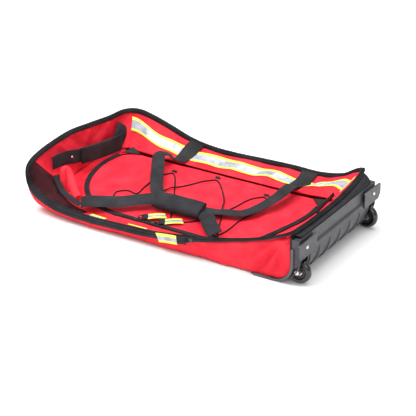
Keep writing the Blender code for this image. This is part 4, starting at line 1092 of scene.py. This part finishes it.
# Bungee lacing -----------------------------------------------------------------
# 3 mm elastic cord with a braided sleeve, laced between six webbing loops sewn on the lid. It lies
# on the lid, and passes over itself where it crosses.
ROUTE = [(-0.218, -0.112, 0), (-0.230, -0.076, 0), (-0.206, -0.056, 0), (-0.174, -0.058, 0),
         (-0.176, -0.010, 0),
         (-0.168, 0.050, 0), (-0.146, 0.0735, 0), (-0.124, 0.055, 0), (-0.090, 0.000, 0),
         (-0.058, -0.052, 0),
         (-0.018, -0.128, 0), (-0.004, -0.1375, 0), (0.014, -0.132, 0), (0.050, -0.106, 0),
         (0.082, -0.054, 0),
         (0.104, 0.000, 0), (0.122, 0.052, 0), (0.150, 0.0715, 0), (0.166, 0.052, 0), (0.164, 0.000, 0),
         (0.152, -0.060, 0), (0.145, -0.125, 0), (0.138, -0.1435, 0), (0.128, -0.130, 0),
         (0.104, -0.076, 0.001),
         (0.079, -0.026, 0.0045), (0.056, 0.020, 0.001), (0.008, 0.078, 0), (-0.018, 0.0955, 0),
         (-0.042, 0.084, 0),
         (-0.062, 0.058, 0), (-0.082, 0.030, 0.0006), (-0.101, 0.000, 0.0045), (-0.118, -0.020, 0.0010)]
keys = [Vector((x, y, 0.0)) for x, y, lift in ROUTE]
lifts = [Vector((lift, 0, 0)) for x, y, lift in ROUTE]
cord_points = []
for k in range(661):
    u = (len(keys) - 1) * k / 660
    p = on_curve(keys, u)
    cord_points.append(Vector((p.x, p.y, lid_top(p.x, p.y) + 0.0016 + on_curve(lifts, u).x)))
cord = sweep("bungee_lace", cord_points, round_profile(0.0021, 8))
keep(cord, ELASTIC, "lid", ("bungee_cord",))

LOOPS = {"near_left": (-0.226, -0.122), "far_left": (-0.146, 0.082), "near_middle": (-0.004, -0.146),
         "far_right": (0.150, 0.080), "near_right": (0.138, -0.152), "far_middle": (-0.018, 0.104)}
for name, (x, y) in LOOPS.items():
    out = 1 if name.startswith("far") else -1
    line = []
    for k in range(13):
        f = k / 12
        a = pi * (f - 0.5)
        yy = y - out * 0.0085 * cos(a) * (1 if f <= 0.5 else 1) + out * 0.0085
        rise = 0.0008 + (0.0046 if f > 0.5 else 0.0) * 0 + 0.0036 * (0.5 + 0.5 * sin(a))
        line.append(Vector((x, yy, lid_top(x, yy) + rise)))
    loop = webbing("lace_loop_" + name, line, 0.015, 0.0012)
    keep(loop, WEBBING, "lid", ("bungee_loop_" + name,))
keep(NODES["cord_lock"], GLOSS, None)


# Zip sliders and pull tabs -----------------------------------------------------
# Enamelled sliders, each with a tape tab on a loop of black cord.
for name in ("lid_slider_left", "lid_slider_right", "rim_slider"):
    keep(NODES[name], GLOSS, None)


def tab_sheet(name, origin, u_axis, v_axis, start, reach, width, skew, material, body, lift=0.0):
    """A flat tab from start to reach along u_axis, bent a little, with its UV across it in metres."""
    normal = u_axis.cross(v_axis).normalized()
    rows = []
    for r in range(9):
        v = -width / 2 + width * r / 8
        row = []
        for k in range(17):
            f = k / 16
            u = start + (reach - start) * f + skew * (r / 8 - 0.5) * f
            row.append(origin + u_axis * u + v_axis * v + normal * (lift + 0.0016 * sin(pi * f)))
        rows.append(row)
    tab = skin(name, rows, normal, thickness=0.0014)
    return keep(tab, material, body)


TABS = {"left": (-0.100, radians(31), 0.0075), "right": (-0.047, radians(31), 0.0058)}
for word, (x, turn, lift) in TABS.items():
    base = lid_height(-0.170) + 0.0022
    hinge = Vector((x + 0.0085, -0.167, base + lift))
    tilt = Matrix.Rotation(0.106, 3, "X") @ Matrix.Rotation(turn, 3, "Z")
    u_axis, v_axis = tilt @ Vector((1, 0, 0)), tilt @ Vector((0, 1, 0))
    tab = tab_sheet("tab_%s_tape" % word, hinge, u_axis, v_axis, 0.022, 0.070, 0.0245, -0.006, TAPE_TAB,
                    word + "_tab")
    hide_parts("lid_tab_" + word)
    loop = tab_sheet("tab_%s_binding" % word, hinge, u_axis, v_axis, 0.006, 0.0230, 0.0225, 0.0, WEBBING,
                     word + "_tab", 0.0004)
    ring = [hinge + u_axis * (0.004 + 0.008 * cos(a)) + v_axis * 0.0045 * sin(a) + Vector((0, 0, 0.0012))
            for a in (2 * pi * k / 20 for k in range(20))]
    cord_ring = sweep("tab_%s_cord" % word, ring, round_profile(0.0012, 8), closed=True)
    keep(cord_ring, ELASTIC, word + "_tab")

hinge = Vector((0.0965, -0.2268, 0.0535))
u_axis, v_axis = Vector((-0.99, 0, -0.12)), Vector((-0.12, 0, 0.99))
tab = tab_sheet("rim_tab_tape", hinge + Vector((0, 0, -0.004)), u_axis, v_axis, 0.032, 0.092, 0.025,
                0.008,
                TAPE_TAB, "rim_tab_body")
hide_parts("rim_tab")
tab_sheet("rim_tab_binding", hinge + Vector((0, 0, -0.003)), u_axis, v_axis, 0.005, 0.0325, 0.020,
          0.0, WEBBING,
          "rim_tab_body", 0.0004)
ring = [hinge + u_axis * (0.003 + 0.008 * cos(a)) + v_axis * (0.0035 * sin(a) - 0.002)
        for a in (2 * pi * k / 20 for k in range(20))]
cord_ring = sweep("rim_tab_cord", ring, round_profile(0.0012, 8), (0, 1, 0), closed=True)
keep(cord_ring, ELASTIC, "rim_tab_body")


# Floor, light and camera -------------------------------------------------------
# Plain white floor under soft studio light, seen from the front left of the wheel end.
mesh = bpy.data.meshes.new("studio_floor")
mesh.from_pydata([(-9, -9, 0), (9, -9, 0), (9, 9, 0), (-9, 9, 0)], [], [(0, 1, 2, 3)])
floor = bpy.data.objects.new("studio_floor", mesh)
bpy.context.scene.collection.objects.link(floor)
white, tree, shader = new_material("white_floor", 0.9, Specular_IOR_Level=0.0)
shader.inputs["Base Color"].default_value = (0.95, 0.95, 0.95, 1)
floor.data.materials.append(white)
floor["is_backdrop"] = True

world = bpy.data.worlds.new("studio")
bpy.context.scene.world = world
world.use_nodes = True
background = world.node_tree.nodes["Background"]
background.inputs["Color"].default_value = (1, 1, 1, 1)
background.inputs["Strength"].default_value = 0.62
for name, at, size, power in (("key", (-1.1, -0.9, 2.7), 1.3, 66.0),
                              ("fill", (2.0, -1.6, 1.5), 1.4, 16.0),
                              ("top", (0.3, 0.5, 3.0), 2.4, 62.0)):
    light = bpy.data.lights.new(name, "AREA")
    light.size = size
    light.energy = power
    lamp = bpy.data.objects.new(name, light)
    lamp.location = at
    lamp.rotation_euler = (-Vector(at)).to_track_quat("-Z", "Y").to_euler()
    bpy.context.scene.collection.objects.link(lamp)
    lamp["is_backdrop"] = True

camera = bpy.data.cameras.new("camera")
camera.sensor_width = 36.0
camera.lens = 125.9
camera.clip_end = 60.0
viewer = bpy.data.objects.new("camera", camera)
azimuth, elevation = radians(31.99), radians(25.43)
away = Vector((sin(azimuth) * cos(elevation), -cos(azimuth) * cos(elevation), sin(elevation)))
viewer.location = Vector((-0.0201, 0.0601, 0.0)) + away * 4.0
viewer.rotation_euler = (-away).to_track_quat("-Z", "Y").to_euler()
bpy.context.scene.collection.objects.link(viewer)
bpy.context.scene.camera = viewer
bpy.context.scene.view_settings.view_transform = "Standard"

low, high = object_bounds()
